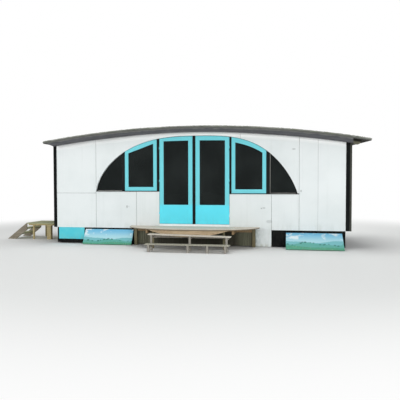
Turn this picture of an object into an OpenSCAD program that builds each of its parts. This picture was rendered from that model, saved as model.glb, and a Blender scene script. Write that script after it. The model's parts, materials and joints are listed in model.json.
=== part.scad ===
/* [Body] */
// Length of the front and back wall between the end walls
body_len = 7000; // [6700:50:7800]
// Depth of the body over the front and back wall
body_depth = 2500; // [2300:50:3000]
// Height of the lower edge of the walls above the ground
base_z = 400; // [380:5:430]
// Thickness of the front and back wall
wall_t = 80; // [72:2:100]
// Thickness of the end walls
end_t = 85; // [60:5:90]
// How far the black corner posts stand proud of the front and back wall
corner_proud = 6; // [3:1:15]
// Depth of a corner post along the end wall
corner_w = 76; // [60:2:110]
// Width of the grey battens on the right end wall beside the corner posts
end_batten_w = 45; // [20:5:60]
// Width of the grooves that show where two wall sheets meet
groove_w = 5; // [3:1:8]
// Depth of those grooves
groove_d = 3; // [2:0.5:6]
// Thickness of the floor boards
floor_t = 22; // [18:1:30]
// Width of a floor joist
joist_w = 45; // [38:1:60]
// Largest distance between floor joists
joist_pitch = 600; // [400:20:700]

/* [Roof] */
// Height of the lower edge of the front fascia at the middle
eave_mid_z = 2672; // [2660:2:2740]
// Fall of the fascia from the middle to the end of the wall
roof_rise = 273; // [240:3:300]
// Height of the fascia board
fascia_h = 112; // [100:2:140]
// Thickness of the fascia board
fascia_t = 25; // [18:1:32]
// Thickness of the roof boards
roof_board_t = 25; // [18:1:32]
// Thickness of the roof covering
roof_cover_t = 30; // [20:1:40]
// How far the roof boards reach beyond the front and back wall
eave_out = 205; // [150:5:260]
// Drip of the covering beyond the roof boards
drip = 8; // [4:1:14]
// Overhang of the roof at the left end
overhang_left = 170; // [130:10:300]
// Overhang of the roof at the right end
overhang_right = 430; // [320:10:600]
// How far the right roof end falls back from the front to the back edge
roof_slant = 300; // [0:10:310]
// How far the fascia runs past the left end wall at its upper edge
fascia_left = 90; // [60:5:120]
// Slant of the left fascia end, measured along the wall
fascia_slant = 205; // [100:5:250]
// How far the front roof beam reaches past the right end wall
beam_out = 250; // [150:10:280]
// How far the back roof beam reaches past the right end wall
beam_out_back = 60; // [50:5:80]
// Height of the roof beams
beam_h = 95; // [60:5:110]

/* [Arch] */
// Half width of the arched window front at its left sill
arch_half_left = 2458; // [2430:2:2470]
// Half width of the arched window front at its right sill
arch_half_right = 2426; // [2410:2:2470]
// Height of the top of the arch above the lower edge of the wall
arch_top = 2225; // [2200:5:2230]
// Height of the left sill above the lower edge of the wall
sill_left = 910; // [850:5:920]
// Height of the right sill above the lower edge of the wall
sill_right = 855; // [840:5:920]
// Thickness of the sill board
sill_t = 18; // [12:1:30]
// How far the sill board stands proud of the wall
sill_proud = 12; // [6:1:25]
// Width of the curved lining behind the doors and sashes
lining_w = 34; // [26:1:50]
// Depth of the frame rebate, from the face of the wall to the lining
rebate = 51; // [48:1:60]
// Width of the post between a door and a sash
post_w = 52; // [44:1:70]
// Width of the post between a sash and the fixed pane
outer_post_w = 75; // [50:1:90]
// Width of a sash
sash_w = 813; // [780:1:830]
// Width of the sides of a sash
sash_stile = 98; // [70:1:110]
// Height of the bottom rail of a sash
sash_rail = 102; // [60:1:120]
// Depth of the top rail of a sash below the arch
sash_head = 118; // [90:1:140]
// Thickness of a sash
sash_t = 47; // [40:1:48]
// Thickness of the glass
glass_t = 6; // [4:1:10]

/* [Doors] */
// Distance from the middle of the front to the side of the door opening
door_open = 853; // [840:1:860]
// Height of the threshold above the lower edge of the wall
threshold_h = 114; // [100:2:130]
// Width of the post between the two doors
centre_post_w = 60; // [50:1:70]
// Thickness of a door
door_t = 45; // [38:1:46]
// Gap round a door
door_gap = 7; // [6:0.5:8]
// Width of the sides of a door
door_stile = 115; // [90:1:130]
// Height of the closed panel at the foot of a door
door_panel_h = 475; // [420:5:520]
// Height of the glass in a door
door_glass_h = 1503; // [1440:1:1510]
// Radius of a hinge knuckle
hinge_r = 6; // [5:0.5:8]
// Length of a hinge
hinge_len = 100; // [76:2:120]
// Height of the lowest hinge above the foot of the door
hinge_first = 180; // [150:5:220]
// Distance between hinges
hinge_pitch = 780; // [700:5:800]
// Height of the grip above the foot of the door
grip_z = 960; // [900:10:1050]
// Length of the grip
grip_len = 220; // [150:10:300]

/* [Skirt] */
// Thickness of the skirt panels
skirt_t = 15; // [12:1:18]
// Thickness of the black skirt boards behind the panels
skirt_board_t = 25; // [18:1:32]
// Gap between the black skirt boards and the ground
skirt_foot = 20; // [10:2:60]
// Length of the plain turquoise skirt panel
plain_skirt_len = 675; // [600:5:700]
// Height of the plain turquoise skirt panel
plain_skirt_h = 292; // [240:4:330]
// Distance of its outer end from the end of the wall
plain_skirt_in = 45; // [30:5:80]
// Height of the upper edge of the painted panels below the wall
painted_drop = 45; // [30:5:70]
// Distance of the foot of the left painted panel from the wall
painted_out_left = 200; // [150:10:300]
// Distance of the foot of the right painted panel from the wall
painted_out_right = 450; // [350:10:500]
// Gap between the plain and the left painted panel
painted_gap = 37; // [20:1:60]
// Gap between the white leg panel and the right painted panel
painted_space = 335; // [250:5:400]
// Distance of the right painted panel from the end of the wall
painted_end = 100; // [60:5:150]
// How much further the right painted panel reaches at the foot
painted_flare = 40; // [0:5:50]
// Distance of the white leg panel from the middle
leg_x = 1430; // [1424:2:1440]
// Width of the white leg panel
leg_w = 405; // [360:5:420]
// Gap between the white leg panel and the ground
leg_gap = 10; // [6:2:60]
// Width of a pier block
pier_w = 215; // [180:5:260]
// Height of the bearers on the piers
bearer_h = 110; // [90:5:130]
// Width of the bearers on the piers
bearer_w = 60; // [50:5:90]
// Distance of the outer piers from the middle along the body
pier_x = 3000; // [2800:50:3200]
// Distance of the outer bearers from the middle across the body
bearer_y = 850; // [800:10:900]

/* [Deck] */
// Height of the deck above the ground
deck_z = 467; // [455:3:479]
// Thickness of the deck boards
deck_t = 28; // [24:1:32]
// Half the length of the deck along the wall
deck_half = 1562; // [1540:2:1600]
// Fullness of the bow, from 2 for an ellipse upward
deck_fill = 2.6; // [2:0.1:3]
// Depth of the bow-fronted deck at its middle
deck_out = 830; // [800:5:860]
// Height of the deck joists
deck_joist_h = 95; // [80:5:100]
// Width of the deck joists
deck_joist_w = 45; // [38:1:50]
// Width of the brown deck posts beside the wall
deck_post_w = 75; // [60:5:80]
// Half the length of the curved apron under the deck edge
apron_half = 945; // [900:5:960]
// Depth of the curved apron at its middle
apron_drop = 150; // [120:5:160]
// Thickness of the curved apron
apron_t = 22; // [16:1:28]
// Distance of the curved apron behind the edge of the deck
apron_in = 14; // [8:1:20]
// Shift of the apron to the left of the door centre
apron_shift = 10; // [0:2:20]

/* [Steps] */
// Length of the step treads
tread_len = 1835; // [1800:5:1900]
// Depth of the step treads
tread_d = 200; // [180:5:230]
// Thickness of the step treads
tread_t = 28; // [24:1:34]
// Height of the upper tread above the ground
upper_tread_z = 360; // [348:2:368]
// Fall of the upper tread from its left to its right end
tread_fall = 34; // [0:2:36]
// Height of the lower tread above the ground
lower_tread_z = 184; // [170:2:200]
// Gap between the two treads, seen from above
tread_gap = 40; // [0:5:60]
// Width of the step legs
leg_sq = 45; // [38:1:50]
// Distance of the left end of the treads from the door centre
tread_left = 835; // [800:5:860]

/* [Landing] */
// Height of the end landing above the ground
landing_z = 440; // [430:2:460]
// Thickness of the landing boards
landing_t = 30; // [24:1:36]
// Length of the landing away from the end wall
landing_len = 1115; // [1100:5:1250]
// Width of the landing
landing_w = 800; // [780:10:900]
// Shift of the landing and the end door towards the front
landing_shift = 200; // [100:10:250]
// Height of the frame under the landing
landing_frame_h = 40; // [30:5:60]
// Width of the thick landing posts
landing_post_w = 110; // [90:5:130]
// Width of the thin landing posts
landing_thin_w = 45; // [38:1:60]
// Distance of the far side of the thick posts from the end wall
thick_post_far = 550; // [500:10:600]
// Distance of the thin posts from the far end of the landing
thin_post_in = 158; // [120:2:200]
// Length of the landing stair on the ground
stair_run = 560; // [520:10:640]
// Width of a stair string, across the slope
string_w = 150; // [130:5:170]
// Thickness of a stair string
string_t = 38; // [30:1:45]
// Number of stair treads
stair_treads = 2; // [2:1:2]
// Width of the end door
end_door_w = 760; // [700:10:820]
// Height of the end door
end_door_h = 1850; // [1800:10:1880]
// Thickness of the end door
end_door_t = 44; // [38:1:50]

/* [Hidden] */

$fn = 48;
white = [0.91, 0.93, 0.93];
black = [0.07, 0.07, 0.08];
turquoise = [0.30, 0.82, 0.90];
glass = [0.16, 0.20, 0.20];
slate = [0.33, 0.34, 0.36];
moss = [0.52, 0.54, 0.48];
timber = [0.60, 0.55, 0.46];
silver_wood = [0.72, 0.71, 0.66];
brown_wood = [0.50, 0.38, 0.27];
concrete = [0.60, 0.59, 0.56];
sky = [0.62, 0.84, 0.92];
steel = [0.45, 0.46, 0.47];

// Clearance left where a flat top meets the faceted underside of the roof, and between seated pieces
seat = 0.2;
half = body_len / 2;
front_y = -body_depth / 2;
inner_y = front_y + wall_t;
rebate_y = front_y + rebate;
floor_z = base_z + threshold_h;
deck_front = front_y - seat;

// Roof arc: heights are counted outward from the lower edge of the fascia
roof_r = (half * half + roof_rise * roof_rise) / (2 * roof_rise);
roof_centre_z = eave_mid_z - roof_r;
roof_step = 250;
roof_under = fascia_h;
cover_under = fascia_h + roof_board_t;
roof_x0 = -half - end_t - overhang_left;
roof_x1 = half + end_t + overhang_right;
edge_y = body_depth / 2 + eave_out;

function arc_z(x, up) = sqrt(pow(roof_r + up, 2) - x * x) + roof_centre_z;

// Stations along the roof, common to everything that follows its underside
function stations(x0, x1) = concat(
    [x0],
    [for (k = [floor(x0 / roof_step) + 1 : ceil(x1 / roof_step) - 1]) k * roof_step],
    [x1]
);

// Height of the faceted roof arc at any place
function roof_z(x, up) =
    let (a = floor(x / roof_step) * roof_step, b = a + roof_step)
    arc_z(a, up) + (arc_z(b, up) - arc_z(a, up)) * (x - a) / roof_step;

function roof_line(x0, x1, up) = [for (x = stations(x0, x1)) [x, roof_z(x, up)]];
function reversed(list) = [for (i = [len(list) - 1 : -1 : 0]) list[i]];

// Arch of the window front: one top, but a sill and a shoulder of its own on each side.
// A negative x or side means the left.
arch_n = 40;
function sill_z(side) = base_z + (side < 0 ? sill_left : sill_right);
function arch_half(side) = side < 0 ? arch_half_left : arch_half_right;
function arch_fill(side) = side < 0 ? 2.6 : 3.3;
function arch_round(side) = side < 0 ? 0.63 : 0.82;
function arch_z(x, inset) =
    let (reach = min(1, abs(x) / (arch_half(x) - inset)))
    sill_z(x) + (base_z + arch_top - inset - sill_z(x))
    * pow(max(0, 1 - pow(reach, arch_fill(x))), arch_round(x));
function arch_line(x0, x1, inset, n = arch_n) =
    [for (i = [0 : n]) let (x = x0 + (x1 - x0) * sin(90 * i / n)) [x, arch_z(x, inset)]];

// A block between two values of x, y and z, each pair in either order
module box(x, y, z) {
    translate([min(x), min(y), min(z)])
        cube([abs(x[1] - x[0]), abs(y[1] - y[0]), abs(z[1] - z[0])]);
}

// An outline in the XZ plane, extruded along Y
module upright(points, y0, y1) {
    translate([0, y1, 0])
        rotate([90, 0, 0])
            linear_extrude(y1 - y0)
                polygon(points);
}

// A piece at the right and its mirror image at the left
module both_sides() {
    children();
    mirror([1, 0, 0]) children();
}

// A wall sheet under the roof
module roofed_wall(x0, x1, y0, y1) {
    upright(concat(
        [[x1, base_z], [x0, base_z]],
        [for (p = roof_line(x0, x1, roof_under)) [p[0], p[1] - seat]]
    ), y0, y1);
}

module groove_v(x, z0, z1) {
    box([x - groove_w / 2, x + groove_w / 2], [front_y - 1, front_y + groove_d], [z0, z1]);
}

panel_x = max(arch_half_left, arch_half_right) + 5;
far_joint_x = 2885;
left_joint_up = 855;
left_level_joint_z = base_z + left_joint_up;

module front_wall_left() {
    color(white) difference() {
        roofed_wall(-half, -panel_x, front_y, inner_y);
        box([-half - 1, -panel_x + 1], [front_y - 1, front_y + groove_d],
            [left_level_joint_z - groove_w / 2, left_level_joint_z + groove_w / 2]);
    }
}

module front_wall_right() {
    color(white) difference() {
        roofed_wall(panel_x, half, front_y, inner_y);
        groove_v(far_joint_x, base_z - 1, eave_mid_z);
    }
}

// The sheet between the arch and the roof, from the middle to the panel joint
module spandrel(side) {
    upright(concat(
        [for (p = roof_line(0, panel_x, roof_under)) [side * p[0], p[1] - seat]],
        [[side * panel_x, sill_z(side)]],
        reversed(arch_line(0, side * arch_half(side), 0))
    ), front_y, inner_y);
}

module front_spandrel_left() {
    color(white) spandrel(-1);
}

module front_spandrel_right() {
    color(white) spandrel(1);
}

left_joint_x = 1425;
right_joint_x = leg_x + leg_w;

module apron(side, joint_x) {
    difference() {
        box([side * door_open, side * panel_x], [front_y, inner_y], [base_z, sill_z(side) - sill_t]);
        groove_v(side * joint_x, base_z - 1, sill_z(side));
    }
}

module front_apron_left() {
    color(white) apron(-1, left_joint_x);
}

module front_apron_right() {
    color(white) apron(1, right_joint_x);
}

module front_threshold() {
    color(white) box([-door_open, door_open], [front_y, inner_y], [base_z, floor_z]);
}

module back_wall() {
    color(white) difference() {
        roofed_wall(-half, half, -inner_y, -front_y);
        for (x = [-panel_x, 0, panel_x])
            box([x - groove_w / 2, x + groove_w / 2], [-front_y - groove_d, -front_y + 1],
                [base_z - 1, eave_mid_z + fascia_h]);
    }
}

corner_y = -front_y + corner_proud - corner_w;

module end_wall() {
    roofed_wall(half, half + end_t, -corner_y, corner_y);
}

end_door_y = end_door_w / 2;

module left_end_wall() {
    color(black) difference() {
        mirror([1, 0, 0]) end_wall();
        box([-half - end_t - 1, -half + 1],
            [-landing_shift - end_door_y, -landing_shift + end_door_y],
            [floor_z, floor_z + end_door_h]);
    }
}

module right_end_wall() {
    color(black) end_wall();
}

module corner_posts() {
    color(black) both_sides() {
        roofed_wall(half, half + end_t, -corner_y - corner_w, -corner_y);
        roofed_wall(half, half + end_t, corner_y, corner_y + corner_w);
    }
}

end_door_x = -half - end_t + 10;
end_door_gap = 3;

module end_door() {
    color(black)
        box([end_door_x, end_door_x + end_door_t],
            [-landing_shift - end_door_y + end_door_gap, -landing_shift + end_door_y - end_door_gap],
            [floor_z, floor_z + end_door_h - end_door_gap]);
}

module floor_slab() {
    color(timber) box([-half, half], [inner_y, -inner_y], [floor_z - floor_t, floor_z]);
}

joist_n = ceil((body_len - joist_w) / joist_pitch);

module floor_joists() {
    color(timber) for (i = [0 : joist_n])
        let (x = -half + (body_len - joist_w) * i / joist_n)
            box([x, x + joist_w], [inner_y, -inner_y], [base_z, floor_z - floor_t]);
}

module bearers() {
    color(steel) for (y = [-bearer_y, 0, bearer_y])
        box([-half + skirt_board_t, half - skirt_board_t], [y - bearer_w / 2, y + bearer_w / 2],
            [base_z - bearer_h, base_z]);
}

module piers() {
    color(concrete) for (x = [-pier_x, 0, pier_x], y = [-bearer_y, 0, bearer_y])
        box([x - pier_w / 2, x + pier_w / 2], [y - pier_w / 2, y + pier_w / 2],
            [0, base_z - bearer_h]);
}

// A curved layer of the roof
module roof_layer(x0, x1, up0, up1, y0, y1) {
    upright(concat(roof_line(x0, x1, up0), reversed(roof_line(x0, x1, up1))), y0, y1);
}

// A roof layer whose right end slants back from the front edge to the back edge
module slanted_layer(x0, x1, up0, up1, y) {
    creep = roof_slant / (2 * y);
    difference() {
        roof_layer(x0, x1, up0, up1, -y, y);
        linear_extrude(eave_mid_z + fascia_h) polygon([
            [x1 + creep, -y - 1],
            [x1 + drip, -y - 1],
            [x1 + drip, y + 1],
            [x1 - roof_slant - creep, y + 1]
        ]);
    }
}

module roof_boards() {
    color(timber) slanted_layer(roof_x0, roof_x1, roof_under, cover_under, edge_y);
}

module roof_covering() {
    color(moss)
        slanted_layer(roof_x0 - drip, roof_x1 + drip, cover_under + seat,
                      cover_under + roof_cover_t, edge_y + drip);
}

fascia_x0 = -half - end_t - fascia_left;
fascia_x1 = half + end_t + end_batten_w;

fascia_tip = 10;
cut_over = 20;

module fascia(y0, y1) {
    difference() {
        roof_layer(fascia_x0, fascia_x1, 0, fascia_h - seat, y0, y1);
        upright([
            [fascia_x0 - 1, roof_z(fascia_x0, fascia_h - seat) - 1],
            [fascia_x0 + fascia_slant, roof_z(fascia_x0 + fascia_slant, 0) - fascia_tip],
            [fascia_x0 - 1, roof_z(fascia_x0, 0) - cut_over]
        ], y0 - 1, y1 + 1);
    }
}

module front_fascia() {
    color(slate) fascia(-edge_y + 5, -edge_y + 5 + fascia_t);
}

module back_fascia() {
    color(slate) fascia(edge_y - 5 - fascia_t, edge_y - 5);
}

beam_x = half + end_t;

// The end of a roof beam under the right overhang, rounded below
module beam_end(y, out) {
    x1 = beam_x + out;
    r = min(beam_h, out / 2);
    upright(concat(
        [for (p = roof_line(beam_x, x1, roof_under)) [p[0], p[1] - seat]],
        [for (a = [0 : 15 : 90])
            [x1 - r + r * cos(a), roof_z(x1, roof_under) - seat - beam_h + r - r * sin(a)]],
        [[beam_x, roof_z(beam_x, roof_under) - seat - beam_h]]
    ), y, y + wall_t);
}

module roof_beam_ends() {
    color(brown_wood) {
        beam_end(front_y, beam_out);
        beam_end(-front_y - wall_t, beam_out_back);
    }
}

// Upright battens on the right end wall, from its foot to the beams
batten_top = roof_z(beam_x + beam_out / 2, roof_under) - beam_h;

module end_battens() {
    color(timber) for (y = [front_y - corner_proud, -front_y + corner_proud - end_batten_w])
        box([beam_x, beam_x + end_batten_w], [y, y + end_batten_w], [base_z, batten_top]);
}

module arch_lining() {
    color(black) upright(concat(
        reversed(arch_line(0, -arch_half_left + seat, seat)),
        arch_line(0, arch_half_right - seat, seat),
        reversed(arch_line(0, arch_half_right - lining_w, lining_w)),
        arch_line(0, -arch_half_left + lining_w, lining_w)
    ), rebate_y, inner_y);
}

module window_sills() {
    color(black) for (side = [-1, 1])
        box([side * door_open, side * panel_x], [front_y - sill_proud, inner_y],
            [sill_z(side) - sill_t, sill_z(side)]);
}

sash_x0 = door_open + post_w;
sash_x1 = sash_x0 + sash_w;
pane_x0 = sash_x1 + outer_post_w;
sash_gap = 3;

// A post that stands on the sill and ends under the arch
module arched_post(side, x0, x1) {
    upright(concat(
        [[side * x0, sill_z(side)]],
        [for (x = [x0, (x0 + x1) / 2, x1]) [side * x, arch_z(side * x, sash_gap)]],
        [[side * x1, sill_z(side)]]
    ), front_y, rebate_y);
}

module frame_posts() {
    color(black) for (side = [-1, 1]) {
        arched_post(side, door_open, sash_x0);
        arched_post(side, sash_x1, pane_x0);
    }
}

stop_w = 28;

module centre_post() {
    color(black) {
        upright([
            [-centre_post_w / 2, floor_z],
            [-centre_post_w / 2, arch_z(centre_post_w / 2, seat)],
            [centre_post_w / 2, arch_z(centre_post_w / 2, seat)],
            [centre_post_w / 2, floor_z]
        ], front_y, rebate_y);
        box([-centre_post_w / 2 - stop_w, centre_post_w / 2 + stop_w], [rebate_y, inner_y],
            [floor_z, arch_z(centre_post_w / 2 + stop_w, lining_w) - sash_gap]);
    }
}

module door_stops() {
    color(black) for (side = [-1, 1])
        box([side * (door_open - stop_w), side * door_open], [rebate_y, inner_y],
            [floor_z, arch_z(side * door_open, lining_w) - sash_gap]);
}

module fixed_pane(side) {
    upright(concat(
        [[side * pane_x0, sill_z(side)]],
        arch_line(side * pane_x0, side * (arch_half(side) - 2), 2)
    ), rebate_y - glass_t, rebate_y);
}

module fixed_pane_left() {
    color(glass) fixed_pane(-1);
}

module fixed_pane_right() {
    color(glass) fixed_pane(1);
}

light_x0 = sash_x0 + sash_stile;
light_x1 = sash_x1 - sash_stile;
sash_n = 8;

function sash_top(side, x0, x1, inset) = [for (i = [0 : sash_n])
    let (x = side * (x0 + (x1 - x0) * i / sash_n)) [x, arch_z(x, inset)]];

// The light of a sash: a straight sloping head at the left, a curved one at the right
function light(side) = concat(
    [for (x = [light_x1, light_x0]) [side * x, sill_z(side) + sash_rail]],
    side < 0
        ? [for (x = [light_x0, light_x1]) [-x, arch_z(-x, 0) - sash_head]]
        : [for (p = sash_top(side, light_x0, light_x1, 0)) [p[0], p[1] - sash_head]]
);

module sash(side) {
    difference() {
        upright(concat(
            [for (x = [sash_x1, sash_x0]) [side * x, sill_z(side)]],
            sash_top(side, sash_x0, sash_x1, sash_gap)
        ), rebate_y - sash_t, rebate_y);
        upright(light(side), front_y - 1, rebate_y + 1);
    }
}

module sash_glass(side) {
    upright(light(side), rebate_y - sash_t / 2 - glass_t, rebate_y - sash_t / 2);
}

module sash_left() {
    color(turquoise) sash(-1);
}

module sash_right() {
    color(turquoise) sash(1);
}

module sash_glass_left() {
    color(glass) sash_glass(-1);
}

module sash_glass_right() {
    color(glass) sash_glass(1);
}

door_x0 = centre_post_w / 2 + door_gap;
door_x1 = door_open - door_gap;
door_foot = floor_z + door_gap - 1;
door_y0 = rebate_y - 6 - door_t;
door_y1 = rebate_y - 6;
glass_z0 = door_foot + door_panel_h;
glass_z1 = glass_z0 + door_glass_h;
door_n = 6;
hinge_x = door_open - 3;
hinge_y = door_y0 - hinge_r;
hinge_places = [for (i = [0 : 2]) door_foot + hinge_first + i * hinge_pitch];
plate_t = 2.5;
plate_w = 30;
knuckle_gap = 0.3;

// One half of a lift-off hinge: a knuckle on the axis with its plate toward or away from the door
module hinge_half(side, way, z0, z1) {
    translate([side * hinge_x, hinge_y, z0]) cylinder(h = z1 - z0, r = hinge_r);
    box([side * hinge_x, side * (hinge_x + way * plate_w)], [front_y - plate_t, front_y], [z0, z1]);
}

// A glazed leaf with its top cut to the arch and the upper halves of its hinges
module door_leaf(side) {
    for (z = hinge_places) hinge_half(side, -1, z + (hinge_len + knuckle_gap) / 2, z + hinge_len);
    difference() {
        upright(concat(
            [[side * door_x1, door_foot], [side * door_x0, door_foot]],
            [for (i = [0 : door_n])
                let (x = side * (door_x0 + (door_x1 - door_x0) * i / door_n))
                    [x, arch_z(x, door_gap)]]
        ), door_y0, door_y1);
        box([side * (door_x0 + door_stile), side * (door_x1 - door_stile)],
            [door_y0 - 1, door_y1 + 1], [glass_z0, glass_z1]);
    }
}

module door_glass(side) {
    box([side * (door_x0 + door_stile), side * (door_x1 - door_stile)],
        [(door_y0 + door_y1 - glass_t) / 2, (door_y0 + door_y1 + glass_t) / 2],
        [glass_z0, glass_z1]);
}

grip_x = door_x0 + door_stile / 2;
grip_r = 8;
grip_out = 45;
grip_arm_in = 25;

// An inside pull: a bar on two short arms
module door_grip(side) {
    z0 = door_foot + grip_z;
    translate([side * grip_x, door_y1 + grip_out, z0]) cylinder(h = grip_len, r = grip_r);
    for (z = [z0 + grip_arm_in, z0 + grip_len - grip_arm_in])
        translate([side * grip_x, door_y1, z]) rotate([-90, 0, 0]) cylinder(h = grip_out, r = grip_r);
}

module door_left() {
    color(turquoise) door_leaf(-1);
}

module door_right() {
    color(turquoise) door_leaf(1);
}

module door_glass_left() {
    color(glass) door_glass(-1);
}

module door_glass_right() {
    color(glass) door_glass(1);
}

module door_grip_left() {
    color(black) door_grip(-1);
}

module door_grip_right() {
    color(black) door_grip(1);
}

// The lower halves of the hinges, on the wall
module wall_hinges() {
    color(steel) for (side = [-1, 1], z = hinge_places)
        hinge_half(side, 1, z, z + (hinge_len - knuckle_gap) / 2);
}

skirt_y = front_y + skirt_t;
skirt_end = -half + plain_skirt_in + plain_skirt_len;

// The black board behind the front skirt panels
module front_skirt_board() {
    color(black) box([-half, half], [skirt_y, skirt_y + skirt_board_t], [skirt_foot, base_z]);
}

// The same boards along the back and both ends
module rear_skirt_boards() {
    color(black) {
        box([-half, half], [-skirt_y - skirt_board_t, -skirt_y], [skirt_foot, base_z]);
        for (x = [-half, half - skirt_board_t])
            box([x, x + skirt_board_t], [skirt_y + skirt_board_t, -skirt_y - skirt_board_t],
                [skirt_foot, base_z]);
    }
}

module skirt_panel_plain() {
    color(turquoise)
        box([-half + plain_skirt_in, skirt_end], [front_y, skirt_y], [base_z - plain_skirt_h, base_z]);
}

painted_top = base_z - painted_drop;
painted_y = skirt_y - seat;

// A leaning panel with its back against the black board and its foot on the ground
module painted_panel(x0, x1, flare, out) {
    lean = atan((out + painted_y - front_y) / painted_top);
    slope_h = painted_top / cos(lean) - skirt_t * tan(lean);
    translate([0, painted_y, painted_top])
        rotate([-lean, 0, 0])
            translate([0, 0, -slope_h])
                upright([[x0, 0], [x0, slope_h], [x1, slope_h], [x1 + flare, 0]], -skirt_t, 0);
}

module painted_panel_left() {
    color(sky) painted_panel(skirt_end + painted_gap, -deck_post_x - deck_post_w, 0, painted_out_left);
}

module painted_panel_right() {
    color(sky)
        painted_panel(leg_x + leg_w + painted_space, half - painted_end, painted_flare,
                      painted_out_right);
}

module leg_panel() {
    color(white) box([leg_x, leg_x + leg_w], [front_y, skirt_y], [leg_gap, base_z]);
}

// Bow of the deck, fuller than an ellipse; back is the distance of a line behind the edge
deck_n = 40;
function bow_y(x, back) = deck_front - (deck_out - back)
    * sqrt(max(0, 1 - pow(abs(x) / (deck_half - back), deck_fill)));
function bow(back) = [for (i = [0 : deck_n])
    let (x = (deck_half - back) * sin(180 * i / deck_n - 90)) [x, bow_y(x, back)]];
deck_under = deck_z - deck_t;

module deck_boards() {
    color(silver_wood)
        translate([0, 0, deck_under]) linear_extrude(deck_t) polygon(bow(0));
}

deck_post_x = leg_x;
ledger_x = deck_post_x - deck_post_w / 2 - 5;
ledger_w = 50;
ledger_y = deck_front - ledger_w;
joist_back = 30;
deck_joists = [-1000, -500, 0, 500, 1000];

module deck_frame() {
    color(timber) {
        box([-ledger_x, ledger_x], [ledger_y, deck_front], [deck_under - deck_joist_h, deck_under]);
        for (x = deck_joists)
            box([x - deck_joist_w / 2, x + deck_joist_w / 2],
                [bow_y(abs(x) + deck_joist_w / 2, apron_in + apron_t) + joist_back, ledger_y + 1],
                [deck_under - deck_joist_h, deck_under]);
    }
}

// The upright boards that close the space behind the deck
module deck_back_boards() {
    color(timber) box([-ledger_x, ledger_x], [front_y, skirt_y], [skirt_foot, base_z]);
}

front_post_in = 40;
front_post_y = bow_y(apron_half, apron_in + apron_t) + front_post_in;
front_post_x = [-845, 800];

module deck_posts() {
    color(brown_wood) {
        for (x = [-deck_post_x, deck_post_x])
            box([x - deck_post_w / 2, x + deck_post_w / 2], [deck_front - deck_post_w, deck_front],
                [0, deck_under]);
        for (x = front_post_x)
            box([x - leg_sq / 2, x + leg_sq / 2], [front_post_y, front_post_y + leg_sq],
                [0, deck_under]);
    }
}

apron_r = (apron_half * apron_half + apron_drop * apron_drop) / (2 * apron_drop);
apron_tip = asin(apron_half / apron_r);
apron_n = 16;

// The bent board under the deck edge, its lower edge cut to an arc
module deck_apron() {
    color(brown_wood) intersection() {
        linear_extrude(deck_under) polygon(concat(bow(apron_in), reversed(bow(apron_in + apron_t))));
        upright([for (i = [0 : apron_n])
            let (a = apron_tip * (2 * i / apron_n - 1))
                [apron_r * sin(a) - apron_shift,
                 deck_under - apron_drop + apron_r - apron_r * cos(a)]],
            deck_front - deck_out - 1, deck_front);
    }
}

deck_tread_gap = 4;
upper_y1 = deck_front - deck_out - deck_tread_gap;
upper_y0 = upper_y1 - tread_d;
lower_y1 = upper_y0 - tread_gap;
lower_y0 = lower_y1 - tread_d;
tread_x0 = -tread_left;
tread_x1 = tread_x0 + tread_len;
middle_leg_x = tread_x0 + tread_len / 2 + 17.5;

// Height of the top of the upper tread, which falls to the right
function upper_z(x) = upper_tread_z - tread_fall * ((x - tread_x0) / tread_len - 0.5);

module step_tread_upper() {
    color(silver_wood) upright([
        [tread_x0, upper_z(tread_x0)],
        [tread_x1, upper_z(tread_x1)],
        [tread_x1, upper_z(tread_x1) - tread_t],
        [tread_x0, upper_z(tread_x0) - tread_t]
    ], upper_y0, upper_y1);
}

module step_tread_lower() {
    color(silver_wood)
        box([tread_x0, tread_x1], [lower_y0, lower_y1], [lower_tread_z - tread_t, lower_tread_z]);
}

step_rail_h = 60;
leg_y = upper_y0 + 5;
low_leg_y = lower_y0 + 10;
cross_y = front_post_y - leg_sq;
cross_z = upper_tread_z - tread_t - tread_fall / 2;
leg_in = [60, 90];
outer_legs = [tread_x0 + leg_in[0], tread_x1 - leg_in[1]];
short_leg_x = 525;

// Each support: a tall and a short leg, joined by the rails that carry the treads
module step_support(x, rail_end) {
    under_upper = upper_z(x + leg_sq / 2) - tread_t;
    under_lower = lower_tread_z - tread_t;
    x0 = x - leg_sq / 2;
    x1 = x + leg_sq / 2;
    box([x0, x1], [leg_y, leg_y + leg_sq], [0, under_upper]);
    box([x0, x1], [low_leg_y, low_leg_y + leg_sq], [0, under_lower]);
    box([x0, x1], [leg_y, rail_end], [under_upper - step_rail_h, under_upper]);
    box([x0, x1], [low_leg_y, leg_y + leg_sq], [under_lower - step_rail_h, under_lower]);
}

// The outer rails pass under the apron to a cross rail on the front posts of the deck
module step_supports() {
    color(silver_wood) {
        for (x = outer_legs) step_support(x, front_post_y - seat);
        step_support(middle_leg_x, upper_y1);
        box([short_leg_x - leg_sq / 2, short_leg_x + leg_sq / 2],
            [low_leg_y, low_leg_y + leg_sq], [0, lower_tread_z - tread_t]);
        box([front_post_x[0] - leg_sq / 2, outer_legs[1] + leg_sq / 2], [cross_y, front_post_y - seat],
            [cross_z - step_rail_h, cross_z]);
    }
}

landing_x1 = -half - end_t - seat;
landing_x0 = landing_x1 - landing_len;
landing_under = landing_z - landing_t;
landing_y0 = -landing_shift - landing_w / 2;
landing_y1 = -landing_shift + landing_w / 2;

module landing_boards() {
    color(silver_wood)
        box([landing_x0, landing_x1], [landing_y0, landing_y1], [landing_under, landing_z]);
}

thick_post_x = landing_x1 - thick_post_far;
thin_post_x = landing_x0 + thin_post_in;
landing_in = 30;
landing_beam_w = 45;
landing_beam_in = 40;

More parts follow.
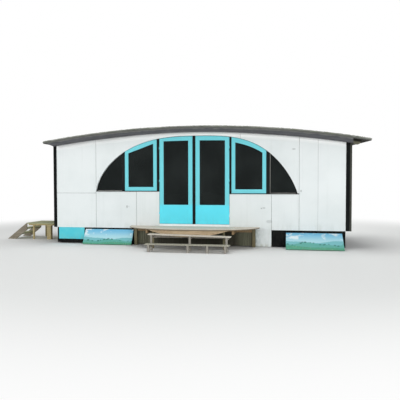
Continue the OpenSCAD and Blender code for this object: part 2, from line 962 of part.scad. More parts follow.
module landing_frame() {
    color(brown_wood) for (s = [-1, 1]) {
        y0 = -landing_shift + s * (landing_w / 2 - landing_in);
        box([landing_x0 + landing_beam_in, landing_x1], [y0, y0 - s * landing_beam_w],
            [landing_under - landing_frame_h, landing_under]);
        box([thick_post_x, thick_post_x + landing_post_w], [y0, y0 - s * landing_post_w],
            [0, landing_under]);
        box([thin_post_x, thin_post_x + landing_thin_w], [y0, y0 - s * landing_thin_w],
            [0, landing_under]);
    }
}

stair_angle = atan(landing_z / stair_run);
string_drop = string_w / cos(stair_angle);
foot_x = landing_x0 - stair_run;
string_x1 = landing_x0 - seat;

// A sloping stair string: plumb at the landing, level on the ground
module stair_string() {
    polygon([
        [string_x1, landing_z - seat * tan(stair_angle)],
        [foot_x, 0],
        [foot_x + string_drop / tan(stair_angle), 0],
        [string_x1, landing_z - seat * tan(stair_angle) - string_drop]
    ]);
}

module landing_strings() {
    color(silver_wood) for (y = [landing_y0 + string_t, landing_y1])
        translate([0, y, 0]) rotate([90, 0, 0]) linear_extrude(string_t) stair_string();
}

stair_tread_t = 32;
stair_tread_d = 200;
stair_nose = 20;

module landing_treads() {
    color(silver_wood) for (i = [1 : stair_treads]) {
        z = landing_z * i / (stair_treads + 1);
        x = foot_x + stair_run * i / (stair_treads + 1);
        box([x - stair_nose, x - stair_nose + stair_tread_d], [landing_y0 + string_t, landing_y1 - string_t],
            [z - stair_tread_t, z]);
    }
}

front_wall_left();
front_wall_right();
front_spandrel_left();
front_spandrel_right();
front_apron_left();
front_apron_right();
front_threshold();
back_wall();
left_end_wall();
right_end_wall();
corner_posts();
end_battens();
end_door();
floor_slab();  // floor
floor_joists();
bearers();
piers();
roof_boards();
roof_covering();
roof_beam_ends();
front_fascia();
back_fascia();
arch_lining();
window_sills();
frame_posts();
centre_post();
door_stops();
fixed_pane_left();
fixed_pane_right();
sash_left();
sash_right();
sash_glass_left();
sash_glass_right();
door_left();
door_right();
door_glass_left();
door_glass_right();
door_grip_left();
door_grip_right();
wall_hinges();
front_skirt_board();
rear_skirt_boards();
deck_back_boards();
skirt_panel_plain();
painted_panel_left();
painted_panel_right();
leg_panel();
deck_boards();
deck_frame();
deck_posts();
deck_apron();
step_tread_upper();
step_tread_lower();
step_supports();
landing_boards();
landing_frame();
landing_strings();
landing_treads();
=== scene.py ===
import json
import math
from random import Random

import bmesh
import bpy
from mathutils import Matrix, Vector, noise


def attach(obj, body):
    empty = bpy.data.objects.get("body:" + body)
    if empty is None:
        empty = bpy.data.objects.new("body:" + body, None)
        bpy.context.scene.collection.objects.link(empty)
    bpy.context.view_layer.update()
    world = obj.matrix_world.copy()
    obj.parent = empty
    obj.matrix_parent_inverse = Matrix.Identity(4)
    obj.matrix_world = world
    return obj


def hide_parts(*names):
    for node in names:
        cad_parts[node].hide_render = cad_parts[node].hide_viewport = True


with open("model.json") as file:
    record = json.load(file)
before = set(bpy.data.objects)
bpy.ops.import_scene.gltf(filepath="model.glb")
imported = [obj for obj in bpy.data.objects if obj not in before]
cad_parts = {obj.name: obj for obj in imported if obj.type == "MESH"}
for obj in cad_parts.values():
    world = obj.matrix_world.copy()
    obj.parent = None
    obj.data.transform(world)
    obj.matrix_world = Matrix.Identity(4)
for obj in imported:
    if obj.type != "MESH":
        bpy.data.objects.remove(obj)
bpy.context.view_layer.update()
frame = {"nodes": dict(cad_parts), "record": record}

# Sizes in metres. Doors, sashes and posts are as measured in the photo, the rest as in the source
HALF = 3.5
END_T = 0.085
END_X = HALF + END_T
FRONT = -1.25
INNER = -1.17
REBATE = -1.199
BASE = 0.400
FLOOR = 0.514
SILL_T = 0.018
SILL = {-1: 1.310, 1: 1.255}
ARCH_TOP = 2.625
PANEL_X = 2.463
# Each side of the arch: half width, height of the sill, the two exponents of its curve
SHOULDER = {-1: (2.458, SILL[-1], 2.6, 0.63), 1: (2.426, SILL[1], 3.3, 0.82)}
EAVE_MID = 2.672
ROOF_RISE = 0.273
ROOF_R = (HALF ** 2 + ROOF_RISE ** 2) / (2 * ROOF_RISE)
ROOF_STEP = 0.25
FASCIA_H = 0.112
COVER_UP = 0.137
COVER_TOP = 0.167
COVER_X0 = -3.763
COVER_X1 = 4.023
COVER_Y = 1.463
ROOF_SLANT = 0.300
ROOF_CLEAR = 0.0004
DOOR_OPEN = 0.853
DOOR_X0 = 0.037
DOOR_X1 = 0.846
DOOR_FOOT = 0.520
DOOR_Y0 = -1.250
DOOR_Y1 = -1.205
DOOR_STILE = 0.101
DOOR_HEAD = 2.511
DOOR_HEAD_FALL = 0.012
GLASS_Z0 = 0.977
DOOR_STRIP_Y = (-1.2310, -1.2245)
DOOR_GASKET = 0.026
DOOR_BEAD = 0.030
POST_INNER = 0.905
POST_OUTER = 1.718
SASH_INNER = {-1: 0.915, 1: 0.899}
SASH_OUTER = {-1: 1.718, 1: 1.709}
SASH_STILE = 0.088
SASH_RAIL = 0.094
SASH_HEAD = {-1: 0.094, 1: 0.118}
SASH_GASKET = {-1: 0.030, 1: 0.026}
SASH_Y0 = -1.246
SASH_STRIP_Y = -1.2290
LEAF_CLEAR = 0.011
SASH_CLEAR = 0.009
PANE_X0 = 1.793
PANE_Y = -1.2055
PANE_BEAD = 0.012
HINGE_X = 0.850
HINGE_Y = -1.256
HINGE_Z = [DOOR_FOOT + 0.18 + 0.78 * i for i in range(3)]
HINGE_MID = 0.050
HINGE_LEAF = 0.030
HINGE_GAP = 0.00015
PLATE_T = 0.0025
DECK_FRONT = -1.2502
DECK_HALF = 1.562
DECK_OUT = 0.830
DECK_FILL = 2.6
DECK_Z = 0.467
DECK_UNDER = 0.439
GAP = 0.002
SIDES = ((-1, "left"), (1, "right"))
SHARP_ANGLE = math.radians(28)
BEVEL_ANGLE = math.radians(35)
FLAT_ANGLE = math.radians(0.4)

RECORD = frame["record"]
BODY = {n: body for body, names in RECORD["behaviour"]["bodies"].items() for n in names}


# ---- shapes by formula

def side_of(x):
    return -1 if x < 0 else 1


def arch_z(x, inset=0.0):
    """Height of the arch over x; the two shoulders differ."""
    half, sill, fill, bend = SHOULDER[side_of(x)]
    reach = min(1.0, abs(x) / (half - inset))
    return sill + (ARCH_TOP - inset - sill) * max(0.0, 1 - reach ** fill) ** bend


def arc_z(x, up):
    """Height at x of an arc that lies up over the lower edge of the fascia."""
    return math.sqrt((ROOF_R + up) ** 2 - x * x) + EAVE_MID - ROOF_R


def roof_z(x, up):
    """The same arc as the source draws it, straight between its stations."""
    a = math.floor(x / ROOF_STEP) * ROOF_STEP
    z0, z1 = arc_z(a, up), arc_z(a + ROOF_STEP, up)
    return z0 + (z1 - z0) * (x - a) / ROOF_STEP


def roof_under(x):
    return roof_z(x, FASCIA_H) - ROOF_CLEAR


def roof_line(x0, x1):
    """Points along the underside of the roof, at both ends and at each station between."""
    stations = range(math.floor(x0 / ROOF_STEP) + 1, math.ceil(x1 / ROOF_STEP))
    return [(x, roof_under(x)) for x in (x0, *(k * ROOF_STEP for k in stations), x1)]


def bow_x(y):
    """Half the deck's width at y."""
    out = min(1.0, (DECK_FRONT - y) / DECK_OUT)
    return DECK_HALF * max(0.0, 1 - out * out) ** (1 / DECK_FILL)


def steps(a, b, n):
    """The ends of n equal steps from a to b."""
    return [a + (b - a) * i / n for i in range(n + 1)]


def eased(a, b, n):
    """The ends of n steps from a to b, shorter toward b."""
    return [a + (b - a) * math.sin(math.pi / 2 * i / n) for i in range(n + 1)]


def parts(a, b, n, gap=0.0):
    """The ends of n equal parts from a to b, each shorter by gap at both ends."""
    ends = steps(a, b, n)
    return [(p + gap, q - gap) for p, q in zip(ends, ends[1:])]


def about(middle, half):
    return (middle - half, middle + half)


def rectangle(a0, a1, b0, b1):
    return [(a0, b0), (a1, b0), (a1, b1), (a0, b1)]


def inset_loop(points, w):
    """The same convex outline, each edge moved inward by w."""
    ends = [Vector(p) for p in points]
    turn = math.copysign(w, sum(a.cross(b) for a, b in zip(ends, ends[1:] + ends[:1])))
    sides = [(b - a).normalized().orthogonal() for a, b in zip(ends[-1:] + ends[:-1], ends)]
    return [tuple(p + (m + n) * turn / (1 + m.dot(n)))
            for p, m, n in zip(ends, sides, sides[1:] + sides[:1])]


# ---- meshes

def board_layer(bm):
    """The layer that says which board a corner belongs to."""
    return bm.verts.layers.float.get("board") or bm.verts.layers.float.new("board")


def solid(bm, low, top, tag):
    """A closed solid between two outlines with the same number of corners."""
    layer = board_layer(bm)
    low = [bm.verts.new(p) for p in low]
    top = [bm.verts.new(p) for p in top]
    for v in low + top:
        v[layer] = tag
    bm.faces.new(low)
    bm.faces.new(top[::-1])
    for i in range(len(low)):
        bm.faces.new((low[i - 1], top[i - 1], top[i], low[i]))


def prism(bm, points, y0, y1, tag=0.0):
    """An outline in the XZ plane between two values of y."""
    solid(bm, [(x, y0, z) for x, z in points], [(x, y1, z) for x, z in points], tag)


def block(bm, x, y, z, tag=0.0):
    prism(bm, rectangle(*x, *z), *y, tag)


def flat_prism(bm, points, z0, z1, tag=0.0):
    """An outline in the XY plane between two heights, or up to the roof where z1 is None."""
    top = [(x, y, z1 or roof_under(x)) for x, y in points]
    solid(bm, [(x, y, z0) for x, y in points], top, tag)


def rod(bm, centre, radius, length, axis, sides, tip=1.0):
    """A round piece from centre along an axis; the radius of its far end is tip times the other."""
    way = Vector([axis == a for a in "XYZ"])
    u = Vector((0, 1, 0)) if axis == "X" else Vector((1, 0, 0))
    v = way.cross(u)
    c = Vector(centre)
    rings = []
    for at, r in ((0, radius), (length, radius * tip)):
        rings.append([bm.verts.new(c + way * at + (u * math.cos(a) + v * math.sin(a)) * r)
                      for a in (2 * math.pi * i / sides for i in range(sides))])
    bm.faces.new(rings[0])
    bm.faces.new(rings[1][::-1])
    for i in range(sides):
        bm.faces.new((rings[0][i - 1], rings[0][i], rings[1][i], rings[1][i - 1]))


def ring(bm, outer, inner, y_outer, y_inner):
    """A glazing strip between two loops: its face falls from y_outer to y_inner."""
    a = [bm.verts.new((x, y_outer, z)) for x, z in outer]
    b = [bm.verts.new((x, y_inner, z)) for x, z in inner]
    c = [bm.verts.new((x, y_inner, z)) for x, z in outer]
    for i in range(len(outer)):
        for p, q in ((a, b), (b, c), (c, a)):
            bm.faces.new((p[i - 1], p[i], q[i], q[i - 1]))


def piece(name, bm, material, body="hut", stands_for=(), bevel=0.0, smooth=False):
    bmesh.ops.recalc_face_normals(bm, faces=bm.faces)
    mesh = bpy.data.meshes.new(name)
    bm.to_mesh(mesh)
    bm.free()
    mesh_piece(name, mesh, material, body, stands_for, bevel, smooth)


def stand_in(name, bm, material, node, bevel=0.0, smooth=False):
    """A piece that takes the place of a CAD node."""
    piece(name, bm, material, BODY[node], (node,), bevel, smooth)


def put_in_scene(name, data):
    obj = bpy.data.objects.new(name, data)
    bpy.context.scene.collection.objects.link(obj)
    return obj


def mesh_piece(name, mesh, material, body, stands_for, bevel, smooth):
    mesh.materials.clear()
    mesh.materials.append(material)
    if smooth:
        mesh.shade_smooth()
        mesh.set_sharp_from_angle(angle=SHARP_ANGLE)
    obj = put_in_scene(name, mesh)
    if bevel:
        mod = obj.modifiers.new("edges", "BEVEL")
        mod.width = bevel
        mod.segments = 2
        mod.limit_method = "ANGLE"
        mod.angle_limit = BEVEL_ANGLE
    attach(obj, body)
    if stands_for:
        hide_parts(*stands_for)


def dress(node, material, bevel=0.003, move=None):
    """The CAD node's own shape with eased edges and a finish, each of its solids a board of its
    own shade; move may shift the corners a little."""
    mesh = frame["nodes"][node].data.copy()
    bm = bmesh.new()
    bm.from_mesh(mesh)
    bmesh.ops.remove_doubles(bm, verts=bm.verts, dist=1e-5)
    bmesh.ops.dissolve_limit(bm, angle_limit=FLAT_ANGLE, verts=bm.verts, edges=bm.edges)
    if move:
        for v in bm.verts:
            v.co = move(v.co)
    layer = board_layer(bm)
    left = set(bm.verts)
    dice = Random(node)
    for first in bm.verts:
        front = {first} & left
        shade = dice.random() if front else None
        while front:
            for v in front:
                v[layer] = shade
            left -= front
            front = {e.other_vert(v) for v in front for e in v.link_edges} & left
    bm.to_mesh(mesh)
    bm.free()
    mesh_piece(node + "_finished", mesh, material, BODY[node], (node,), bevel, True)


def finish_cad(node, material):
    """The CAD node itself with a finish, its mesh as it is."""
    obj = frame["nodes"][node]
    if not obj.material_slots:
        obj.data.materials.append(material)
    for s in obj.material_slots:
        s.material = material


# ---- materials

def rgb(code):
    """The shader's colour for a screen colour in hex."""
    return tuple(c / 12.92 if c <= 0.04045 else ((c + 0.055) / 1.055) ** 2.4
                 for c in (part / 255 for part in bytes.fromhex(code))) + (1.0,)


class Finish:
    """A short way to write a node material."""

    def __init__(self, name, roughness=0.5, specular=0.5):
        self.material = bpy.data.materials.new(name)
        self.material.use_nodes = True
        self.tree = self.material.node_tree
        self.shader = self.tree.nodes["Principled BSDF"]
        self.shader.inputs["Roughness"].default_value = roughness
        self.shader.inputs["Specular IOR Level"].default_value = specular
        self.place = self.node("TexCoord").outputs["Object"]
        self.base = None
        self.bumped = None

    def put(self, value, socket):
        """A link, or a value for the socket; a string is a colour in hex."""
        if isinstance(value, bpy.types.NodeSocket):
            self.tree.links.new(value, socket)
        elif value is not None:
            socket.default_value = rgb(value) if isinstance(value, str) else value

    def node(self, kind, **inputs):
        """A new node, its inputs given by name with _ for a space."""
        n = self.tree.nodes.new("ShaderNode" + kind)
        for name, value in inputs.items():
            self.put(value, n.inputs[name.replace("_", " ")])
        return n

    def math(self, kind, a, b=None):
        n = self.node("Math")
        n.operation = kind
        self.put(a, n.inputs[0])
        self.put(b, n.inputs[1])
        return n.outputs[0]

    def minus(self, a, b):
        return self.math("SUBTRACT", a, b)

    def plus(self, a, b):
        return self.math("ADD", a, b)

    def times(self, *values):
        out = values[0]
        for v in values[1:]:
            out = self.math("MULTIPLY", out, v)
        return out

    def axis(self, which):
        return self.node("SeparateXYZ", Vector=self.place).outputs[which]

    def off(self, which, at=0.0):
        """Distance along an axis from a place on it."""
        return self.math("ABSOLUTE", self.minus(self.axis(which), at))

    def tag(self):
        n = self.node("Attribute")
        n.attribute_name = "board"
        return n.outputs["Fac"]

    def scaled(self, scale, shift_by_board=False):
        scale = scale if hasattr(scale, "__len__") else (scale,) * 3
        n = self.node("Mapping", Vector=self.place, Scale=scale)
        if not shift_by_board:
            return n.outputs[0]
        add = self.node("VectorMath")
        add.operation = "ADD"
        self.put(n.outputs[0], add.inputs[0])
        self.put(self.times(self.tag(), 37.0), add.inputs[1])
        return add.outputs[0]

    def noise(self, scale, size=1.0, detail=3.0, rough=0.5, by_board=False, warp=0.0):
        n = self.node("TexNoise", Vector=self.scaled(scale, by_board), Scale=size, Detail=detail,
                      Roughness=rough, Distortion=warp)
        return n.outputs["Fac"]

    def cells(self, scale, size=1.0):
        n = self.node("TexVoronoi", Vector=self.scaled(scale), Scale=size)
        return n.outputs["Distance"]

    def span(self, value, low, high, to_low=0.0, to_high=1.0):
        """value between low and high, as a share, held at the ends."""
        n = self.node("MapRange", Value=value, From_Min=low, From_Max=high, To_Min=to_low,
                      To_Max=to_high)
        n.interpolation_type = "SMOOTHSTEP"
        return n.outputs[0]

    def patch(self, low, high, *noise):
        return self.span(self.noise(*noise), low, high)

    def along(self, which, low, high):
        return self.span(self.axis(which), low, high)

    def mix(self, share, a, b):
        n = self.node("Mix")
        n.data_type = "RGBA"
        self.put(share, n.inputs[0])
        self.put(a, n.inputs[6])
        self.put(b, n.inputs[7])
        return n.outputs[2]

    def lay(self, colour, *shares):
        """A colour over the base so far, as strong as the product of the shares."""
        self.base = self.mix(self.times(*shares), self.base, colour)

    def over_arc(self):
        """Height over the arc of the fascia's lower edge."""
        drop = self.minus(self.axis(2), EAVE_MID - ROOF_R)
        reach = self.plus(self.times(self.axis(0), self.axis(0)), self.times(drop, drop))
        return self.minus(self.math("SQRT", reach), ROOF_R)

    def roughness(self, value):
        self.put(value, self.shader.inputs["Roughness"])

    def bump(self, height, strength=0.3, depth=0.002):
        n = self.node("Bump", Strength=strength, Distance=depth, Height=height, Normal=self.bumped)
        self.bumped = n.outputs[0]
        self.put(self.bumped, self.shader.inputs["Normal"])

    def done(self):
        self.put(self.base, self.shader.inputs["Base Color"])
        return self.material


CEILING_BOARD = 0.12
PAINTED_TOP = 0.355
LEVEL_JOINT = 1.255
FAR_JOINT = 2.885
TOP_JOINT = 1.11
APRON_JOINT = {-1: 1.425, 1: 1.835}
JOINT_EDGE = (0.0036, 0.0022)
LEVEL_EDGE = (0.0030, 0.0020)
# Joints between the sheets: x, foot and head or 0 where it runs on, strength
SHEET_JOINTS = ((-PANEL_X, 0, 0, 1.0), (PANEL_X, 0, 0, 1.0), (FAR_JOINT, 0, 0, 0.5),
                (TOP_JOINT, 2.0, 0, 0.6), (-APRON_JOINT[-1], 0, SILL[-1], 1.0),
                (APRON_JOINT[1], 0, SILL[1], 1.0))
BACK_JOINTS = ((-PANEL_X, 0, 0, 1.0), (0, 0, 0, 1.0), (PANEL_X, 0, 0, 1.0))
# Scuffs on the front sheets: x, z, half width, half height, strength
MARKS = ((-1.669, 0.924, 0.022, 0.045, 0.5), (-1.62, 0.93, 0.012, 0.03, 0.3),
         (1.657, 0.915, 0.05, 0.024, 0.32), (1.60, 0.905, 0.02, 0.02, 0.5),
         (2.337, 2.277, 0.055, 0.014, 0.55), (2.505, 1.313, 0.016, 0.035, 0.6),
         (-2.49, 1.262, 0.02, 0.03, 0.4), (1.78, 0.60, 0.09, 0.05, 0.25))


def white_sheet(name, stain=False, back=False):
    """Painted wall sheet: joints, streaks, dirt at the foot, painted light under the fascia."""
    f = Finish(name, 0.42, 0.35)
    cloud = f.noise(1, 0.9, 4, 0.6)
    streak = f.noise((11, 11, 0.5), 1.0, 3, 0.6)
    f.base = f.mix(f.span(cloud, 0.35, 0.7), "e7ecec", "e0e6e6")
    f.lay("c4ccc8", f.span(streak, 0.52, 0.8), 0.16)
    dirt = f.patch(0.38, 0.72, (5, 5, 1.6), 1.4, 5, 0.7)
    f.lay("b0b8ac", f.along(2, 0.65, 0.38), dirt, 0.3)
    # Painted light: a whiter band just under the fascia, offsetting the shade of the overhang.
    f.lay("fcfefe", f.span(f.over_arc(), -0.12, -0.02))
    seam = 0.0
    for at, foot, head, share in BACK_JOINTS if back else SHEET_JOINTS:
        line = f.times(f.span(f.off(0, at), *JOINT_EDGE), share)
        if foot:
            line = f.times(line, f.along(2, foot - 0.01, foot))
        if head:
            line = f.times(line, f.along(2, head + 0.01, head))
        seam = f.math("MAXIMUM", seam, line)
    if not back:
        level = f.times(f.span(f.off(2, LEVEL_JOINT), *LEVEL_EDGE), f.along(0, -2.45, -2.46))
        seam = f.math("MAXIMUM", seam, level)
    f.lay("464c4c", seam, 0.85)
    if not back:
        for x, z, rx, rz, share in MARKS:
            dx = f.math("DIVIDE", f.minus(f.axis(0), x), rx)
            dz = f.math("DIVIDE", f.minus(f.axis(2), z), rz)
            reach = f.plus(f.times(dx, dx), f.times(dz, dz))
            f.lay("5c6462", f.span(reach, 1.0, 0.1), share)
    if stain:
        damp = f.patch(0.3, 0.65, (9, 9, 5), 1.3, 5, 0.65)
        f.lay("92a2a0", f.along(0, 1.66, 1.46), damp, 0.75)
        mud = f.patch(0.3, 0.7, (14, 14, 6), 1.0, 4, 0.6)
        f.lay("a8a892", f.along(2, 0.10, 0.02), mud, 0.6)
    f.roughness(f.span(cloud, 0.3, 0.8, 0.36, 0.5))
    f.bump(f.noise(1, 2.6, 2), 0.25, 0.006)
    f.bump(f.noise(1, 420, 2), 0.08, 0.0004)
    return f.done()


def paint(name, main, shade, worn, grain=(30, 30, 1.2), rough=0.38, dirt=0.4, low=0.5,
          high=0.85, gloss=0.5, upper_tone=None):
    """Brushed paint on timber, its grain faint below, with dirt towards the foot.
    upper_tone is a greyer colour laid above the door panels."""
    f = Finish(name, rough, gloss)
    brush = f.noise(grain, 3.0, 5, 0.62, by_board=True)
    cloud = f.noise(1, 2.2, 3, 0.6, by_board=True)
    f.base = f.mix(f.span(cloud, 0.3, 0.72), main, shade)
    f.lay(shade, f.span(brush, 0.56, 0.78), 0.35)
    f.lay(worn, f.patch(0.66, 0.74, 3, 9, 6, 0.75), 0.35)
    if upper_tone:
        # A greyer colour over everything above the top of the door panels.
        f.lay(upper_tone, f.along(2, GLASS_Z0 - 0.05, GLASS_Z0 + 0.05), 0.9)
    patch = f.patch(0.4, 0.7, (8, 8, 3), 2.0, 5, 0.7)
    f.lay(worn, f.along(2, high, low), patch, dirt)
    f.roughness(f.span(brush, 0.3, 0.8, rough - 0.06, rough + 0.14))
    f.bump(brush, 0.22, 0.0012)
    return f.done()


def wood(name, light, dark, age, along, rough=0.8, age_share=0.5, gloss=0.3, painted_shade=False,
         painted_shadow_band=None):
    """Bare timber: fine grain and slow bands along one axis, each board of its own shade.
    painted_shade paints shade behind the deck, painted_shadow_band a shadow between two heights."""
    fine = [1.6 if a == along else 46.0 for a in "XYZ"]
    wide = [0.45 if a == along else 9.0 for a in "XYZ"]
    f = Finish(name, rough, gloss)
    grain = f.noise(fine, 2.2, 6, 0.68, by_board=True, warp=0.25)
    band = f.noise(wide, 1.6, 4, 0.6, by_board=True, warp=0.8)
    f.base = f.mix(f.span(grain, 0.34, 0.68), light, dark)
    f.lay(dark, f.span(band, 0.42, 0.7), 0.5)
    f.lay(age, f.span(f.tag(), 0.0, 1.0), 0.35)
    grey = f.noise(2.2, 1.6, 5, 0.65, by_board=True)
    f.lay(age, f.span(grey, 0.42, 0.7), age_share)
    if painted_shade:
        # Painted shade: the boards darken toward the middle, behind the deck and steps.
        f.lay("26231c", f.span(f.off(0, 0.05), 1.15, 0.9), 0.82)
    if painted_shadow_band:
        # Painted shadow: a dark band between two heights.
        f.lay("685c48", f.along(2, *painted_shadow_band), 0.85)
    f.roughness(f.span(grain, 0.3, 0.8, rough - 0.1, rough + 0.1))
    f.bump(grain, 0.5, 0.0022)
    return f.done()


def fascia_finish():
    """Weathered grey paint, darker at its foot and paler under the moss."""
    f = Finish("fascia_weathered", 0.6, 0.4)
    run = f.noise((1.2, 12, 16), 1.6, 6, 0.68)
    blot = f.noise((3, 3, 7), 1.6, 5, 0.7)
    f.base = f.mix(f.span(run, 0.36, 0.66), "4e4f53", "3c3d41")
    f.lay("5e6060", f.span(blot, 0.5, 0.72), 0.5)
    f.lay("2d2f2f", f.patch(0.62, 0.74, (6, 6, 20), 2.0, 4, 0.7), 0.5)
    height = f.over_arc()
    f.lay("303034", f.span(height, 0.030, 0.0), 0.5)
    ragged = f.plus(height, f.times(f.minus(blot, 0.5), 0.08))
    f.lay("70726d", f.span(ragged, 0.082, 0.112), 0.8)
    f.bump(run, 0.45, 0.003)
    return f.done()


def beam_finish():
    """Weathered beam end with a painted shadow, near black, where it meets the boards above."""
    f = Finish("beam_end_weathered_shadowed", 0.8, 0.2)
    grain = f.noise((1.4, 40, 40), 2.2, 6, 0.68)
    f.base = f.mix(f.span(grain, 0.34, 0.68), "807e6e", "565446")
    f.bump(grain, 0.5, 0.002)
    # Painted shadow: the top of the beam end is near black under the boards.
    f.lay("1a1a16", f.span(f.over_arc(), 0.058, 0.076), 0.9)
    return f.done()


def roof_board_finish():
    """Boards: brown inside the hut, past the walls weathered grey with painted eave shade."""
    f = Finish("roof_board_timber", 0.8, 0.2)
    grain = f.noise((1.4, 40, 40), 2.2, 6, 0.68)
    dark = f.span(grain, 0.34, 0.68)
    f.base = f.mix(dark, "7c664c", "54422e")
    # Past the walls the boards turn near black: weathering and painted shade under the eaves.
    eaves_weather_and_shade = f.math("MAXIMUM", f.span(f.off(1), -FRONT - 0.01, 0.01 - FRONT),
                     f.span(f.off(0), END_X - 0.005, END_X + 0.015))
    f.lay(f.mix(dark, "42403a", "262420"), eaves_weather_and_shade)
    rim = f.span(f.off(1), COVER_Y - 0.012, COVER_Y - 0.009)
    f.lay(f.mix(dark, "6c6d68", "50514e"), rim)
    seam = f.math("FRACT", f.math("DIVIDE", f.plus(f.axis(1), 2.0), CEILING_BOARD))
    f.lay("141210", f.span(seam, 0.05, 0.0), 0.8)
    f.bump(grain, 0.4, 0.002)
    return f.done()


def moss_finish(name, pale, deep, green):
    """Felt with moss, or the moss itself."""
    f = Finish(name, 0.95, 0.15)
    patch = f.noise(1, 3.4, 6, 0.7)
    tuft = f.noise(1, 46, 5, 0.7)
    f.base = f.mix(f.span(patch, 0.36, 0.64), pale, deep)
    f.lay(green, f.patch(0.5, 0.68, 1, 9, 5, 0.65), 0.6)
    f.lay(deep, f.span(tuft, 0.4, 0.75), 0.5)
    f.bump(tuft, 0.8, 0.006)
    return f.done()


def glass_finish():
    f = Finish("window_glass_dark", 0.04, 0.28)
    f.shader.inputs["Alpha"].default_value = 0.88
    f.bump(f.noise(1, 1.3, 1), 0.12, 0.004)
    f.base = f.mix(f.patch(0.35, 0.7, 1, 1.1, 3, 0.6), "141918", "212625")
    return f.done()


def hinge_paint():
    """Painted over with the wall: white beside the sheets, black on the posts."""
    f = Finish("hinge_painted_over", 0.45, 0.2)
    worn = f.noise(1, 90, 3, 0.6)
    f.base = f.mix(f.along(2, 1.24, 1.26), "e2e7e7", "0e1113")
    f.bump(worn, 0.1, 0.0004)
    f.lay("787a78", f.span(worn, 0.6, 0.75), 0.3)
    return f.done()


def zinc_finish():
    f = Finish("dull_zinc", 0.45)
    f.shader.inputs["Metallic"].default_value = 0.85
    spot = f.noise(1, 60, 4, 0.6)
    f.bump(spot, 0.2, 0.0005)
    f.base = f.mix(f.span(spot, 0.4, 0.7), "969898", "585046")
    return f.done()


def concrete_finish():
    f = Finish("cast_block", 0.9, 0.2)
    grain = f.noise(1, 90, 5, 0.7)
    blot = f.noise(1, 7, 4, 0.6)
    f.base = f.mix(f.span(blot, 0.35, 0.7), "9e9b94", "7c7a72")
    f.bump(grain, 0.7, 0.003)
    f.lay("56544e", f.span(grain, 0.5, 0.8), 0.6)
    return f.done()


def landscape(name, x0, wave, hill_low, seed):
    """A hand-painted strip of sky, clouds, hills, shrubs and meadow, from x0 to the right."""
    f = Finish(name, 0.5)
    u = f.minus(f.axis(0), x0)
    v = f.math("DIVIDE", f.axis(2), PAINTED_TOP)
    dab = f.minus(f.noise(1, 26, 3, 0.6), 0.5)
    v = f.plus(v, f.times(dab, 0.07))

    def crest(base, swing, pitch, phase):
        s = f.math("SINE", f.plus(f.times(u, pitch), phase))
        t = f.math("SINE", f.plus(f.times(u, pitch * 2.3), phase * 1.7))
        return f.plus(f.plus(f.times(s, swing), f.times(t, swing * 0.4)), base)

    def below(line):
        return f.span(f.minus(line, v), 0.0, 0.03)

    f.base = f.mix(f.span(v, 0.45, 1.0), "b0dee8", "70bee2")
    puff = f.noise((4.2, 4.2, 11), 1.0, 5, 0.6, warp=0.4)
    lift = f.noise(1, 1.7 + seed, 1, 0.4)
    f.lay("eef6f8", f.span(puff, 0.52, 0.6), f.span(v, 0.55, 0.68), f.span(lift, 0.42, 0.5), 0.85)
    f.lay("78bec4", below(crest(hill_low + 0.24, 0.05, wave, seed)))
    mid = crest(hill_low + 0.12, 0.06, wave * 1.4, seed * 2.1)
    f.lay("5caca0", below(mid))
    bush = f.cells(9, 1.0 + 0.2 * seed)
    depth = f.minus(mid, v)
    f.lay("267068", f.span(bush, 0.42, 0.3), f.span(depth, -0.06, 0.0), f.span(depth, 0.12, 0.03),
          0.85)
    meadow = below(crest(hill_low - 0.04, 0.04, wave * 0.8, seed * 3.3))
    f.lay("469c80", meadow)
    blade = f.noise((90, 90, 9), 1.0, 3, 0.6)
    f.lay("7cbe8c", meadow, f.span(blade, 0.5, 0.7), 0.6)
    bloom = f.cells(1, 34)
    f.lay("f0eece", meadow, f.span(bloom, 0.16, 0.1), 0.85)
    grime = f.patch(0.35, 0.65, 7, 1.6, 4, 0.7)
    f.lay("6e8062", f.span(v, 0.16, 0.0), grime, 0.55)
    f.bump(f.noise(22, 2.0, 4, 0.65), 0.3, 0.002)
    return f.done()


WHITE = white_sheet("wall_sheet_white")
WHITE_BACK = white_sheet("wall_sheet_back", back=True)
WHITE_LEG = white_sheet("wall_sheet_stained", stain=True)
# The threshold gets a whiter paint than the walls: painted light against the shade of the deck and
# doors.
THRESHOLD_BRIGHT = paint("threshold_white_painted_light", "fcfdfd", "f4f6f6", "ced2cc", dirt=0.2)
BLACK = paint("frame_black", "0c0f11", "16191a", "32322e", rough=0.45, dirt=0.25, gloss=0.12)
BLACK_BOARD = paint("board_black", "0a0c0d", "121515", "2a2a25", rough=0.6,
                    dirt=0.5, low=0.3, high=0.9, gloss=0.08)
TURQUOISE = paint("leaf_turquoise", "63e9fc", "5fe3f6", "70b6bc", dirt=0.2, gloss=0.3,
                  upper_tone="76d4de")
SKIRT_BLUE = paint("skirt_turquoise", "44c8da", "62d2dc", "78b2a8",
                   grain=(1.6, 24, 24), dirt=0.7, low=0.10, high=0.26, gloss=0.3)
# The deck boards darken just below their top edge: painted shadow over the apron.
SILVER = wood("deck_silver", "f0e8da", "c0b6a8", "dad3c6", "X", 0.85, gloss=0.1,
              painted_shadow_band=(DECK_Z - 0.002, DECK_Z - 0.014))
PALE = wood("tread_pale", "eae2d6", "b2aa9c", "cec8ba", "X")
# A darker, greener copy of the tread wood for the lower tread.
PALE_LOW = wood("tread_darker", "bab6a8", "848274", "a0a18d", "X")
POST_GREY = wood("leg_grey", "b0aba3", "787268", "928f86", "Z")
BROWN_Z = wood("post_brown", "867a5a", "544a34", "74745c", "Z", 0.75)
